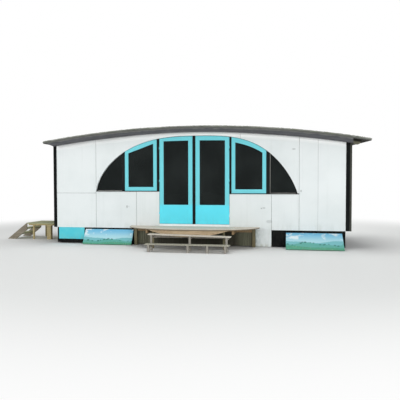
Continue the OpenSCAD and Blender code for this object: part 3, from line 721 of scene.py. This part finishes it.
# The apron darkens in a band just under the deck boards: painted shadow of their nosing.
BROWN_X = wood("apron_brown", "ceb696", "988266", "baae94", "X", 0.75,
               painted_shadow_band=(DECK_UNDER - 0.018, DECK_UNDER - 0.004))
BEAM_GREY = beam_finish()
BATTEN = wood("batten_grey", "54544e", "2e2e2a", "42483c", "Z", 0.85)
TAN_Z = wood("landing_post_tan", "cebc8a", "96845c", "aca480", "Z")
STRING_GREY = wood("string_grey", "a69c8c", "686052", "8a8474", "X")
LANDING_TOP = wood("landing_grey", "c2c29e", "8a8a68", "a7ab83", "X")
TIMBER_X = wood("inner_timber_x", "b09670", "846848", "96866c", "X", 0.7, 0.3)
TIMBER_Y = wood("inner_timber_y", "a88e6a", "7c6244", "928268", "Y", 0.7, 0.3)
CEILING = roof_board_finish()
# The skirt boards behind the deck carry painted shade in the middle.
GREY_BOARD = wood("skirt_grey", "7a7968", "525142", "606550", "Z", 0.85, 0.5, painted_shade=True)
FASCIA = fascia_finish()
FELT = moss_finish("roof_felt_mossy", "9a9b95", "70736c", "888e78")
MOSS = moss_finish("moss_tufts", "b0b2a8", "868a7e", "969e84")
GLASS = glass_finish()
STEEL = zinc_finish()
DARK_STEEL = paint("chassis_black", "1e1f20", "2e2e2e", "54483c", rough=0.55)
BLOCK = concrete_finish()
SCENE_LEFT = landscape("painting_left", -2.743, 5.2, 0.22, 1.3)
SCENE_RIGHT = landscape("painting_right", 2.170, 4.1, 0.27, 2.4)
HINGE_PAINT = hinge_paint()
PALE_BEAD = paint("bead_grey", "b0b0aa", "96948e", "787068", rough=0.5)


# ---- wall sheets

def shade_of(*key):
    """A shade from 0 to 1 that belongs to the key."""
    return Random(repr(key)).random()


def sheets(name, node, outlines, y0=FRONT, y1=INNER, material=WHITE):
    bm = bmesh.new()
    for i, points in enumerate(outlines):
        prism(bm, points, y0, y1, shade_of(node, i))
    stand_in(name, bm, material, node, 0.002)


def tall_sheet(x0, x1, z0=BASE):
    return [(x1, z0), (x0, z0)] + roof_line(x0, x1)


def arch_points(x0, x1, n=40):
    return [(x, arch_z(x)) for x in eased(x0, x1, n)]


sheets("front_sheets_left", "front_wall_left",
       [rectangle(-HALF, -PANEL_X - GAP, BASE, LEVEL_JOINT - GAP),
        tall_sheet(-HALF, -PANEL_X - GAP, LEVEL_JOINT + GAP)])
sheets("front_sheets_right", "front_wall_right",
       [tall_sheet(PANEL_X + GAP, FAR_JOINT - GAP / 3), tall_sheet(FAR_JOINT + GAP / 3, HALF)])

spandrel_left = roof_line(GAP - PANEL_X, 0) + arch_points(0, -SHOULDER[-1][0])
spandrel_left += [(GAP - PANEL_X, SILL[-1])]
sheets("arch_sheet_left", "front_spandrel_left", [spandrel_left])
spandrel_mid = roof_line(0, TOP_JOINT - GAP) + [(TOP_JOINT - GAP, arch_z(TOP_JOINT - GAP))]
spandrel_mid += [(x, arch_z(x)) for x in steps(TOP_JOINT, 0, 16)[1:]]
spandrel_out = roof_line(TOP_JOINT + GAP, PANEL_X - GAP) + [(PANEL_X - GAP, SILL[1])]
spandrel_out += [p for p in arch_points(0, SHOULDER[1][0], 60)[::-1] if p[0] > TOP_JOINT + 0.01]
spandrel_out += [(TOP_JOINT + GAP, arch_z(TOP_JOINT + GAP))]
sheets("arch_sheet_right", "front_spandrel_right", [spandrel_mid, spandrel_out])

for side, word in SIDES:
    joint = APRON_JOINT[side]
    apron_top = SILL[side] - SILL_T
    sheets("apron_sheets_" + word, "front_apron_" + word,
           [rectangle(side * DOOR_OPEN, side * (joint - GAP), BASE, apron_top),
            rectangle(side * (joint + GAP), side * (PANEL_X - GAP), BASE, apron_top)])
dress("front_threshold", THRESHOLD_BRIGHT)
back_edges = (-HALF, -PANEL_X, 0, PANEL_X, HALF)
sheets("back_sheets", "back_wall",
       [tall_sheet(a + GAP, b - GAP) for a, b in zip(back_edges, back_edges[1:])],
       -INNER, -FRONT, WHITE_BACK)

# Small painted screw heads along the sheet edges
FRONT_SCREWS = (-3.47, -2.49, -2.436, -1.45, -1.40, -0.88, 0.88, 1.81, 1.86, 2.436, 2.49, 2.86,
                2.91, 3.47)
BACK_SCREWS = (-3.47, -2.49, -2.436, -0.03, 0.03, 2.436, 2.49, 3.47)
SCREW_PITCH = 0.29
SCREW_OUT = 0.0012
SCREW_FOOT = 0.04
SCREW_TOP = 0.05


def screw_row(bm, x, y, out, top):
    z = BASE + SCREW_FOOT
    while z < top - SCREW_TOP:
        rod(bm, (x, y, z), 0.004, out, "Y", 8, 0.6)
        z += SCREW_PITCH


bm = bmesh.new()
for x in FRONT_SCREWS:
    top = SILL[side_of(x)] if abs(x) < PANEL_X else roof_z(x, 0)
    screw_row(bm, x, FRONT, -SCREW_OUT, top)
for x in BACK_SCREWS:
    screw_row(bm, x, -FRONT, SCREW_OUT, roof_z(x, 0))
piece("sheet_screws", bm, WHITE, smooth=True)

# ---- end walls of upright boards

CORNER_Y = 1.18
END_DOOR_Y0 = -0.58
END_DOOR_Y1 = 0.18
END_DOOR_TOP = 2.364
BOARD_DEPTH = 0.018
WALL_GAP = 0.0008
# From y, to y, number of boards
WALL_BOARDS = ((-CORNER_Y, END_DOOR_Y0, 5), (END_DOOR_Y0, END_DOOR_Y1, 6),
               (END_DOOR_Y1, CORNER_Y, 8))


def end_wall(side, node, has_door):
    """A core with upright boards on its outer face."""
    bm = bmesh.new()
    inner, mid, outer = side * HALF, side * (END_X - BOARD_DEPTH), side * END_X
    for y0, y1, n in WALL_BOARDS:
        doorway = has_door and y0 == END_DOOR_Y0
        for z0, z1 in ((BASE, FLOOR), (END_DOOR_TOP, None)) if doorway else ((BASE, None),):
            flat_prism(bm, rectangle(inner, mid, y0, y1), z0, z1, 0.5)
            for i, ys in enumerate(parts(y0, y1, n, WALL_GAP)):
                flat_prism(bm, rectangle(mid, outer, *ys), z0, z1, shade_of(node, n, i))
    stand_in(node + "_boards", bm, BLACK_BOARD, node, 0.003)


end_wall(-1, "left_end_wall", True)
end_wall(1, "right_end_wall", False)
dress("corner_posts", BLACK_BOARD, 0.004)
dress("end_battens", BATTEN)

# The end door: upright boards on a core, with strap hinges and a knob
DOOR_BOARD = 0.016
bm = bmesh.new()
door_out = 0.010 - END_X
door_ys = (END_DOOR_Y0 + 0.003, END_DOOR_Y1 - 0.003)
door_zs = (FLOOR, END_DOOR_TOP - 0.003)
block(bm, (door_out + DOOR_BOARD, door_out + 0.044), door_ys, door_zs, 0.4)
for i, ys in enumerate(parts(*door_ys, 6, 0.001)):
    block(bm, (door_out, door_out + DOOR_BOARD), ys, door_zs, shade_of("end_door", i))
stand_in("end_door_boards", bm, BLACK_BOARD, "end_door", 0.002)
bm = bmesh.new()
plate_xs = (door_out - 0.004, door_out)
STRAP_Z = (FLOOR + 0.25, FLOOR + 1.55)
for z in STRAP_Z:
    block(bm, plate_xs, (door_ys[0] + 0.005, door_ys[0] + 0.43), (z, z + 0.035))
    rod(bm, (door_out - 0.005, door_ys[0] - 0.002, z - 0.01), 0.007, 0.055, "Z", 12)
    for y in (0.06, 0.18, 0.30):
        rod(bm, (plate_xs[0], door_ys[0] + y, z + 0.0175), 0.006, -0.002, "X", 10, 0.6)
knob_y, knob_z = door_ys[1] - 0.05, FLOOR + 1.03
block(bm, plate_xs, about(knob_y, 0.018), about(FLOOR + 1.0, 0.08))
rod(bm, (plate_xs[0], knob_y, knob_z), 0.008, -0.022, "X", 14)
rod(bm, (plate_xs[0] - 0.022, knob_y, knob_z), 0.020, -0.014, "X", 18, 0.75)
piece("end_door_fittings", bm, DARK_STEEL, bevel=0.001, smooth=True)

# ---- roof

COVER_NX = 156
COVER_NY = 44
COVER_IN = 0.012
LAP_PITCH = 0.98
# The rim of the covering, from below: distance in from the edge, height over the underside
COVER_RIM = ((COVER_IN, 0.0004), (0.006, 0.0015), (0.0, 0.008), (-0.001, 0.017), (0.004, 0.025))


def ripple(x, y, z):
    return noise.noise(Vector((x, y, z)))


def cover_end(y):
    """The right end of the covering, which falls back from the front to the back edge."""
    return COVER_X1 - ROOF_SLANT * (y + COVER_Y) / (2 * COVER_Y)


def cover_ring(share):
    """Points round the covering at a share of its length."""
    points = []

    def place(y, up, lift=0.0):
        x = COVER_X0 + (cover_end(y) - COVER_X0) * share
        points.append((x, y, arc_z(x, COVER_UP + up) + lift))

    x_mid = COVER_X0 + (COVER_X1 - COVER_X0) * share
    lap = 0.004 * ((x_mid - COVER_X0) / LAP_PITCH % 1.0)
    for k, (inward, up) in enumerate(COVER_RIM):
        place(inward - COVER_Y - 0.003 * ripple(x_mid * 9, k * 2.0, 1.5), up)
    for y in steps(COVER_IN - COVER_Y, COVER_Y - COVER_IN, COVER_NY):
        n = ripple(x_mid * 3.1, y * 3.1, 0.3) + 0.5 * ripple(x_mid * 11, y * 11, 4.0)
        place(y, COVER_TOP - COVER_UP, 0.0035 * n + lap - 0.005)
    for k, (inward, up) in enumerate(reversed(COVER_RIM)):
        place(COVER_Y - inward + 0.003 * ripple(x_mid * 9, k * 2.0, 8.5), up)
    return points


bm = bmesh.new()
rings = [[bm.verts.new(p) for p in cover_ring(i / COVER_NX)] for i in range(COVER_NX + 1)]
for a, b in zip(rings, rings[1:]):
    for j in range(len(a)):
        bm.faces.new((a[j - 1], b[j - 1], b[j], a[j]))
bm.faces.new(rings[0])
bm.faces.new(rings[-1][::-1])
stand_in("roof_felt_sheet", bm, FELT, "roof_covering", smooth=True)

ball = bmesh.new()
bmesh.ops.create_icosphere(ball, subdivisions=2, radius=1.0)
ball.verts.index_update()
BALL_POINTS = [v.co.copy() for v in ball.verts]
BALL_FACES = [[v.index for v in face.verts] for face in ball.faces]
ball.free()


def tuft(bm, x, y, z, size, dice):
    """One cushion of moss: a lumpy squashed ball."""
    turn = dice.random() * 6.28
    c, s = math.cos(turn), math.sin(turn)
    stretch = [size * dice.uniform(*span) for span in ((0.8, 1.5), (0.6, 0.9), (0.32, 0.5))]
    verts = []
    for p in BALL_POINTS:
        r = 1 + 0.28 * noise.noise(p * 1.7 + Vector((x * 40, y * 40, 0)))
        dx, dy, dz = (a * b * r for a, b in zip(p, stretch))
        verts.append(bm.verts.new((x + c * dx - s * dy, y + s * dx + c * dy, z + dz)))
    for face in BALL_FACES:
        bm.faces.new([verts[i] for i in face])


dice = Random(41)
bm = bmesh.new()
x = COVER_X0 + 0.02
while x < COVER_X1 - 0.02:
    thick = 0.5 + 0.5 * ripple(x * 1.3, 5.0, 0)
    y = -COVER_Y + dice.uniform(0.004, 0.05)
    size = dice.uniform(0.012, 0.022) * (0.7 + 0.6 * thick)
    tuft(bm, x, y, arc_z(x, COVER_TOP) - 0.004, size, dice)
    if dice.random() < 0.6:
        z = arc_z(x, COVER_UP + dice.uniform(0.004, 0.024))
        tuft(bm, x, 0.011 - COVER_Y, z, dice.uniform(0.008, 0.013), dice)
    x += dice.uniform(0.008, 0.018)
piece("roof_moss_front", bm, MOSS, smooth=True)
bm = bmesh.new()
for _ in range(1000):
    place = dice.random()
    y = dice.uniform(-1.4, 1.4)
    if place < 0.35:
        y = COVER_Y - abs(dice.gauss(0, 0.04)) - 0.025
        x = dice.uniform(COVER_X0 + 0.03, cover_end(y) - 0.03)
    elif place < 0.48:
        x = COVER_X0 + 0.025 + abs(dice.gauss(0, 0.05))
    elif place < 0.6:
        x = cover_end(y) - 0.025 - abs(dice.gauss(0, 0.05))
    else:
        x = dice.uniform(COVER_X0 + 0.05, cover_end(y) - 0.05)
        if ripple(x * 1.1, y * 1.1, 9.0) < 0.05:
            continue
    tuft(bm, x, y, arc_z(x, COVER_TOP) - 0.005, dice.uniform(0.012, 0.028), dice)
piece("roof_moss_scattered", bm, MOSS, smooth=True)

dress("roof_boards", CEILING, 0.002)
dress("roof_beam_ends", BEAM_GREY)

RAISE = 0.018
RAISE_X = -0.1
RAISE_HALF = 1.8


def raise_middle(co):
    """The front fascia is shallower over the arch."""
    if co.z > arc_z(co.x, FASCIA_H / 2):
        return co
    share = max(0.0, 1 - ((co.x - RAISE_X) / RAISE_HALF) ** 2)
    return Vector((co.x, co.y, co.z + RAISE * share))


dress("front_fascia", FASCIA, move=raise_middle)
dress("back_fascia", FASCIA)

# ---- arched front

POST_EDGES = {-POST_INNER: -SASH_INNER[-1], POST_INNER: SASH_INNER[1], POST_OUTER: SASH_OUTER[1]}


def meet_sashes(co):
    """The edges of the posts follow those of the sashes."""
    return Vector((POST_EDGES.get(round(co.x, 3), co.x), co.y, co.z))


for node in ("arch_lining", "window_sills", "centre_post", "door_stops"):
    dress(node, BLACK, 0.0025)
dress("frame_posts", BLACK, 0.0025, move=meet_sashes)
for kind in ("fixed_pane_", "sash_glass_", "door_glass_"):
    for _, word in SIDES:
        finish_cad(kind + word, GLASS)


def framed_leaf(name, node, side, x0, x1, stile, foot, rail_top, head, top, ys):
    """Stiles, foot and head, each a member of its own; foot, rail_top, head and top give heights
    over x. Returns the outline of the glazed opening."""
    bm = bmesh.new()
    a, b = x0 + stile, x1 - stile
    members = ((x0, a, foot, top), (b, x1, foot, top), (a, b, foot, rail_top), (a, b, head, top))
    for k, (xa, xb, low, high) in enumerate(members, 1):
        row = steps(xa, xb, 8)
        points = [(side * x, low(x)) for x in row[::-1]] + [(side * x, high(x)) for x in row]
        prism(bm, points, *ys, shade_of(node, k))
    stand_in(name, bm, TURQUOISE, node, 0.0022)
    return ([(side * x, rail_top(x)) for x in (b, a)]
            + [(side * x, head(x)) for x in steps(a, b, 10)])


def glazing_strip(name, loop, width, y_face, y_glass, body, material=BLACK):
    bm = bmesh.new()
    ring(bm, loop, inset_loop(loop, width), y_face, y_glass)
    piece(name, bm, material, body)


def sash_head(side, x):
    """Upper edge of a sash's glazed opening: straight at the left, along the arch at the right."""
    if side > 0:
        return arch_z(x) - SASH_HEAD[side]
    a, b = SASH_INNER[side] + SASH_STILE, SASH_OUTER[side] - SASH_STILE
    za, zb = arch_z(-a) - SASH_HEAD[side], arch_z(-b) - SASH_HEAD[side]
    return za + (zb - za) * (x - a) / (b - a)


def door_head(x):
    """Upper edge of a door's glazed opening, falling a little toward the hinges."""
    share = (x - DOOR_X0) / (DOOR_X1 - DOOR_X0)
    return DOOR_HEAD - DOOR_HEAD_FALL * share ** 2


for side, word in SIDES:
    sill = SILL[side]
    loop = framed_leaf("sash_frame_" + word, "sash_" + word, side, SASH_INNER[side],
                       SASH_OUTER[side], SASH_STILE, lambda x: sill, lambda x: sill + SASH_RAIL,
                       lambda x: sash_head(side, x), lambda x: arch_z(side * x, SASH_CLEAR),
                       (SASH_Y0, REBATE))
    glazing_strip("sash_gasket_" + word, loop, SASH_GASKET[side], SASH_Y0 + 0.008, SASH_STRIP_Y,
                  "hut")
    body = BODY["door_" + word]
    loop = framed_leaf("door_frame_" + word, "door_" + word, side, DOOR_X0, DOOR_X1, DOOR_STILE,
                       lambda x: DOOR_FOOT, lambda x: GLASS_Z0, door_head,
                       lambda x: arch_z(side * x, LEAF_CLEAR), (DOOR_Y0, DOOR_Y1))
    glazing_strip("door_gasket_" + word, loop, DOOR_GASKET, DOOR_Y0 + 0.010, DOOR_STRIP_Y[0],
                  body)
    glazing_strip("door_bead_" + word, loop, DOOR_BEAD, DOOR_Y1 - 0.002, DOOR_STRIP_Y[1],
                  body, TURQUOISE)
    finish_cad("door_grip_" + word, BLACK)


def hinge_half(bm, side, way, z0, z1):
    """A knuckle with its plate, which lies outward where way is 1 and inward where it is -1."""
    rod(bm, (side * HINGE_X, HINGE_Y, z0), 0.006, z1 - z0, "Z", 24)
    block(bm, (side * HINGE_X, side * (HINGE_X + way * HINGE_LEAF)), (FRONT - PLATE_T, FRONT),
          (z0, z1))
    for z in (z0 + 0.012, z1 - 0.012):
        rod(bm, (side * (HINGE_X + way * 0.019), FRONT - PLATE_T, z), 0.004, -0.0008, "Y", 10, 0.7)


wall = bmesh.new()
for side, word in SIDES:
    leaf = bmesh.new()
    for z in HINGE_Z:
        hinge_half(leaf, side, -1, z + HINGE_MID + HINGE_GAP, z + 2 * HINGE_MID)
        hinge_half(wall, side, 1, z, z + HINGE_MID - HINGE_GAP)
    piece("door_hinges_" + word, leaf, TURQUOISE, BODY["door_" + word], smooth=True)
stand_in("wall_hinge_halves", wall, HINGE_PAINT, "wall_hinges", smooth=True)

# Lock barrel on the right leaf
LOCK_X = 0.069
LOCK_Z = 0.903
bm = bmesh.new()
rod(bm, (LOCK_X, DOOR_Y0, LOCK_Z), 0.017, -0.003, "Y", 24, 0.9)
rod(bm, (LOCK_X, DOOR_Y0 - 0.003, LOCK_Z), 0.009, -0.003, "Y", 20, 0.9)
block(bm, about(LOCK_X, 0.001), about(DOOR_Y0 - 0.0063, 0.0003), about(LOCK_Z, 0.005))
piece("lock_barrel", bm, TURQUOISE, "right_leaf", smooth=True)

# Pale beads at the foot and the inner side of the fixed panes
for side, word in SIDES:
    bm = bmesh.new()
    sill = SILL[side]
    x0, x1 = side * (PANE_X0 + 0.0005), side * (PANE_X0 + PANE_BEAD)
    block(bm, (x0, x1), (PANE_Y - 0.010, PANE_Y), (sill + PANE_BEAD, arch_z(x1, 0.003)))
    block(bm, (x0, side * (SHOULDER[side][0] - 0.035)), (PANE_Y - PANE_BEAD, PANE_Y),
          (sill + 0.0005, sill + PANE_BEAD - 0.0005))
    piece("pane_beads_" + word, bm, PALE_BEAD, bevel=0.0015)

# ---- body below and inside

PLANK_GAP = 0.0006
bm = bmesh.new()
for r, ys in enumerate(parts(INNER, -INNER, 18, PLANK_GAP)):
    dice = Random(r)
    cuts = [-HALF, -HALF + dice.uniform(1.4, 2.6), dice.uniform(0.4, 1.6), HALF]
    for k in range(3):
        block(bm, (cuts[k] + PLANK_GAP, cuts[k + 1] - PLANK_GAP), ys, (FLOOR - 0.022, FLOOR),
              shade_of("floor", r, k))
stand_in("floor_planks", bm, TIMBER_X, "floor", 0.0015)
dress("floor_joists", TIMBER_Y, 0.002)
dress("bearers", DARK_STEEL, 0.004)

PIER_X = (-3.0, 0.0, 3.0)
PIER_Y = (-0.85, 0.0, 0.85)
PIER_HALF = 0.1075
PIER_BLOCK = 0.141
PIER_JOINT = 0.008
JOINT_HALF = 0.100
bm = bmesh.new()
for x in PIER_X:
    for y in PIER_Y:
        for k in range(2):
            shift = 0.0015 * (-1) ** k
            z = (PIER_BLOCK + PIER_JOINT) * k
            block(bm, about(x + shift, PIER_HALF), about(y, PIER_HALF), (z, z + PIER_BLOCK),
                  shade_of(x, y, k))
        block(bm, about(x, JOINT_HALF), about(y, JOINT_HALF),
              (PIER_BLOCK, PIER_BLOCK + PIER_JOINT), 0.2)
stand_in("pier_blocks", bm, BLOCK, "piers", 0.005)

# ---- skirt

# The front skirt board's black is partly a black board and partly painted shade under the hut.
dress("front_skirt_board", BLACK_BOARD)
dress("rear_skirt_boards", BLACK_BOARD)
BACK_HALF = 1.3875
BACK_FOOT = 0.020
BACK_INNER = -1.235
bm = bmesh.new()
for i, xs in enumerate(parts(-BACK_HALF, BACK_HALF, 25, 0.0012)):
    block(bm, xs, (FRONT + 0.0006 * (i % 3), BACK_INNER), (BACK_FOOT, BASE), shade_of("back", i))
stand_in("deck_back_planks", bm, GREY_BOARD, "deck_back_boards", 0.002)
dress("skirt_panel_plain", SKIRT_BLUE, 0.002)
dress("leg_panel", WHITE_LEG, 0.002)
dress("painted_panel_left", SCENE_LEFT, 0.0015)

PANEL_DROP = 0.022
PANEL_OUT = 0.025


def lower_top(co):
    """The right painted panel leans a little lower, and its right edge is nearly upright."""
    if co.z < 0.2:
        return co
    return Vector((co.x + (PANEL_OUT if co.x > 3.0 else 0.0), co.y, co.z - PANEL_DROP))


dress("painted_panel_right", SCENE_RIGHT, 0.0015, move=lower_top)

# ---- deck

DECK_ROWS = 7
NAIL_X = (-1.0, -0.5, 0.0, 0.5, 1.0)
NAIL_IN = (0.03, 0.085)
bm = bmesh.new()
rows = parts(DECK_FRONT, DECK_FRONT - DECK_OUT, DECK_ROWS)
for r, (ya, yb) in enumerate(rows):
    last = r == DECK_ROWS - 1
    right = [(bow_x(y), y) for y in eased(ya, yb if last else yb + 0.005, 26 if last else 8)]
    if last:
        right[-1] = (0.06, yb)
    left = [(-x, y) for x, y in right[::-1]]
    lift = 0.0012 * shade_of("lift", r)
    flat_prism(bm, right + left, DECK_UNDER, DECK_Z - lift, shade_of("deck", r))
stand_in("deck_planks", bm, SILVER, "deck_boards", 0.003)
bm = bmesh.new()
for x in NAIL_X:
    for r, (ya, _) in enumerate(rows):
        for dy in NAIL_IN:
            if bow_x(ya - dy) > abs(x) + 0.03:
                nail_x = x + 0.006 * (shade_of(x, r, dy) - 0.5)
                rod(bm, (nail_x, ya - dy, DECK_Z - 0.0018), 0.004, 0.0014, "Z", 8, 0.8)
piece("deck_nails", bm, DARK_STEEL, smooth=True)
dress("deck_frame", TIMBER_Y, 0.002)
dress("deck_posts", BROWN_Z, 0.004)
dress("deck_apron", BROWN_X, 0.002)

# ---- steps

TREAD_X1 = 1.000
TREAD_T = 0.018
TREAD_GAP = 0.003
UPPER_X0 = -0.862
UPPER_Y = (-2.2842, -2.0842)
UPPER_Z = 0.350
UPPER_FALL = 0.034
CAD_X0 = -0.835
LOWER_X0 = -0.872
LOWER_Y = (-2.5242, -2.3242)
LOWER_Z = 0.174
LEGS = (-0.775, 0.100, 0.910)
LEG_HALF = 0.0225
# Bolts through the outer legs: y, z
LEG_BOLTS = ((-2.257, 0.13), (-2.49, 0.125))


def upper_z(x):
    """The upper tread falls to the right."""
    return UPPER_Z - UPPER_FALL * ((x - CAD_X0) / (TREAD_X1 - CAD_X0) - 0.5)


def tread(name, node, x0, ys, z_at, material):
    """Two planks side by side with slightly uneven ends."""
    bm = bmesh.new()
    layer = board_layer(bm)
    mid = (ys[0] + ys[1]) / 2
    for k, row in enumerate(((ys[0], mid - TREAD_GAP), (mid + TREAD_GAP, ys[1]))):
        dice = Random(node + str(k))
        xa, xb = x0 + dice.uniform(0, 0.008), TREAD_X1 - dice.uniform(0, 0.008)
        low, top = [], []
        for x in steps(xa, xb, 12):
            z = z_at(x)
            wave = 0.0012 * ripple(x * 2.2, k * 3.0, z * 9)
            low.append([bm.verts.new((x, y, z - TREAD_T)) for y in row])
            top.append([bm.verts.new((x, y, z - 0.0012 + wave)) for y in row])
        for v in sum(low + top, []):
            v[layer] = dice.random() * 0.2 + 0.5 * k
        for l0, l1, t0, t1 in zip(low, low[1:], top, top[1:]):
            bm.faces.new(l0 + l1[::-1])
            bm.faces.new(t0 + t1[::-1])
            for p, q, r, s in zip(l0, l1, t1, t0):
                bm.faces.new((p, q, r, s))
        for i in (0, -1):
            bm.faces.new(low[i] + top[i][::-1])
    stand_in(name, bm, material, node, 0.004)


tread("upper_tread_planks", "step_tread_upper", UPPER_X0, UPPER_Y, upper_z, PALE)
tread("lower_tread_planks", "step_tread_lower", LOWER_X0, LOWER_Y, lambda x: LOWER_Z, PALE_LOW)
dress("step_supports", POST_GREY)
bm = bmesh.new()
for x in LEGS:
    for y, z in ((UPPER_Y[0] + 0.035, upper_z(x)), (UPPER_Y[1] - 0.04, upper_z(x)),
                 (LOWER_Y[0] + 0.035, LOWER_Z), (LOWER_Y[1] - 0.035, LOWER_Z)):
        rod(bm, (x, y, z - 0.001), 0.0045, 0.0016, "Z", 10, 0.8)
for x in (LEGS[0], LEGS[2]):
    for y, z in LEG_BOLTS:
        for way in (1, -1):
            rod(bm, (x + LEG_HALF * way, y, z), 0.008, 0.004 * way, "X", 6, 0.9)
piece("step_fixings", bm, STEEL, smooth=True)

# ---- landing

LANDING_X0, LANDING_X1 = -4.7002, -3.5854
LANDING_Y0, LANDING_Y1 = -0.600, 0.200
LANDING_Z = 0.440
LANDING_T = 0.030
LANDING_ROWS = 6
LANDING_GAP = 0.0025
BEAM_IN = 0.030
BEAM_HALF = 0.0225
BOLT_X = -4.08
HANGER_SEAT = (-3.622, -3.5853)
HANGER_BACK = (-3.589, -3.5853)
bm = bmesh.new()
for r, (y0, y1) in enumerate(parts(LANDING_Y0, LANDING_Y1, LANDING_ROWS)):
    dice = Random(100 + r)
    block(bm, (LANDING_X0 + dice.uniform(0, 0.008), LANDING_X1),
          (y0 + LANDING_GAP * (r > 0), y1 - LANDING_GAP * (r < LANDING_ROWS - 1)),
          (LANDING_Z - LANDING_T, LANDING_Z - dice.uniform(0, 0.0015)), shade_of("landing", r))
stand_in("landing_planks", bm, LANDING_TOP, "landing_boards", 0.003)
dress("landing_frame", TAN_Z, 0.004)
dress("landing_strings", STRING_GREY)
dress("landing_treads", LANDING_TOP)
# Bolts of the outer beams, and the hangers that carry them at the wall
bm = bmesh.new()
under = LANDING_Z - LANDING_T - 0.040
for y, way in ((LANDING_Y0 + BEAM_IN, -1), (LANDING_Y1 - BEAM_IN, 1)):
    for z in (under - 0.03, under - 0.06):
        rod(bm, (BOLT_X, y, z), 0.008, 0.004 * way, "Y", 6, 0.9)
    hanger_ys = about(y - BEAM_HALF * way, 0.02)
    block(bm, HANGER_SEAT, hanger_ys, (under - 0.0045, under - 0.0005))
    block(bm, HANGER_BACK, hanger_ys, (under - 0.045, under - 0.0045))
piece("landing_fixings", bm, STEEL, bevel=0.0008)

# ---- floor, light and camera

def seen_rays(tree):
    """1 for the camera's rays, also those through the glass, and 0 for bounced light."""
    path = tree.nodes.new("ShaderNodeLightPath")
    either = tree.nodes.new("ShaderNodeMath")
    either.operation = "MAXIMUM"
    tree.links.new(path.outputs["Is Camera Ray"], either.inputs[0])
    tree.links.new(path.outputs["Is Transmission Ray"], either.inputs[1])
    return either.outputs[0]


def blend(tree, share, a, b, output):
    """Two shaders mixed into an output node."""
    mix = tree.nodes.new("ShaderNodeMixShader")
    for value, socket in zip((share, a, b), mix.inputs):
        tree.links.new(value, socket)
    tree.links.new(mix.outputs[0], output.inputs["Surface"])


FLOOR_HALF = 60
mesh = bpy.data.meshes.new("studio_floor")
ends = (-FLOOR_HALF, FLOOR_HALF)
mesh.from_pydata([(x, y, 0) for x, y in rectangle(*ends, *ends)], [], [range(4)])
f = Finish("studio_floor", 0.9, 0.1)
f.base = "eeeeec"
reach = f.node("VectorMath")
reach.operation = "LENGTH"
f.put(f.place, reach.inputs[0])
fade = f.span(reach.outputs["Value"], 6.5, 11.0)
blend(f.tree, f.times(fade, seen_rays(f.tree)), f.shader.outputs[0],
      f.node("Emission").outputs[0], f.tree.nodes["Material Output"])
mesh.materials.append(f.done())
floor = put_in_scene("studio_floor", mesh)

world = bpy.data.worlds.new("studio")
world.use_nodes = True
bpy.context.scene.world = world
tree = world.node_tree
tree.nodes.clear()
skies = []
for colour, strength in (((0.95, 0.98, 1.0, 1.0), 0.42), ((1.0, 1.0, 1.0, 1.0), 1.0)):
    sky = tree.nodes.new("ShaderNodeBackground")
    sky.inputs["Color"].default_value = colour
    sky.inputs["Strength"].default_value = strength
    skies.append(sky.outputs[0])
blend(tree, seen_rays(tree), *skies, tree.nodes.new("ShaderNodeOutputWorld"))


def soft_light(name, at, target, size, power):
    data = bpy.data.lights.new(name, "AREA")
    data.shape = "SQUARE"
    data.size = size
    data.energy = power
    obj = put_in_scene(name, data)
    obj.location = at
    obj.rotation_euler = (Vector(target) - Vector(at)).to_track_quat("-Z", "Y").to_euler()


soft_light("key", (-10.0, -14.0, 4.2), (-0.3, -1.2, 1.2), 4.4, 600)
soft_light("fill", (6.2, -15.5, 2.7), (0.3, -1.2, 1.4), 4.2, 690)
soft_light("above", (0.0, -1.0, 13.0), (0.0, -1.0, 0.0), 8.0, 700)
soft_light("rear", (2.0, 12.0, 7.0), (0.0, 1.0, 1.3), 7.0, 480)

# The place of the photo's camera, fitted to the corners of the hut; its turns in degrees
CAMERA_AT = (2.2548, -12.9655, 1.5)
CAMERA_TURN = (88.05, 0.073, 10.2)
camera_data = bpy.data.cameras.new("photo_view")
camera_data.sensor_width = 36.0
camera_data.lens = 45.0
camera_data.clip_end = 400.0
camera = put_in_scene("photo_view", camera_data)
camera.location = CAMERA_AT
camera.rotation_euler = [math.radians(turn) for turn in CAMERA_TURN]
bpy.context.scene.camera = camera
bpy.context.scene.view_settings.view_transform = "Standard"
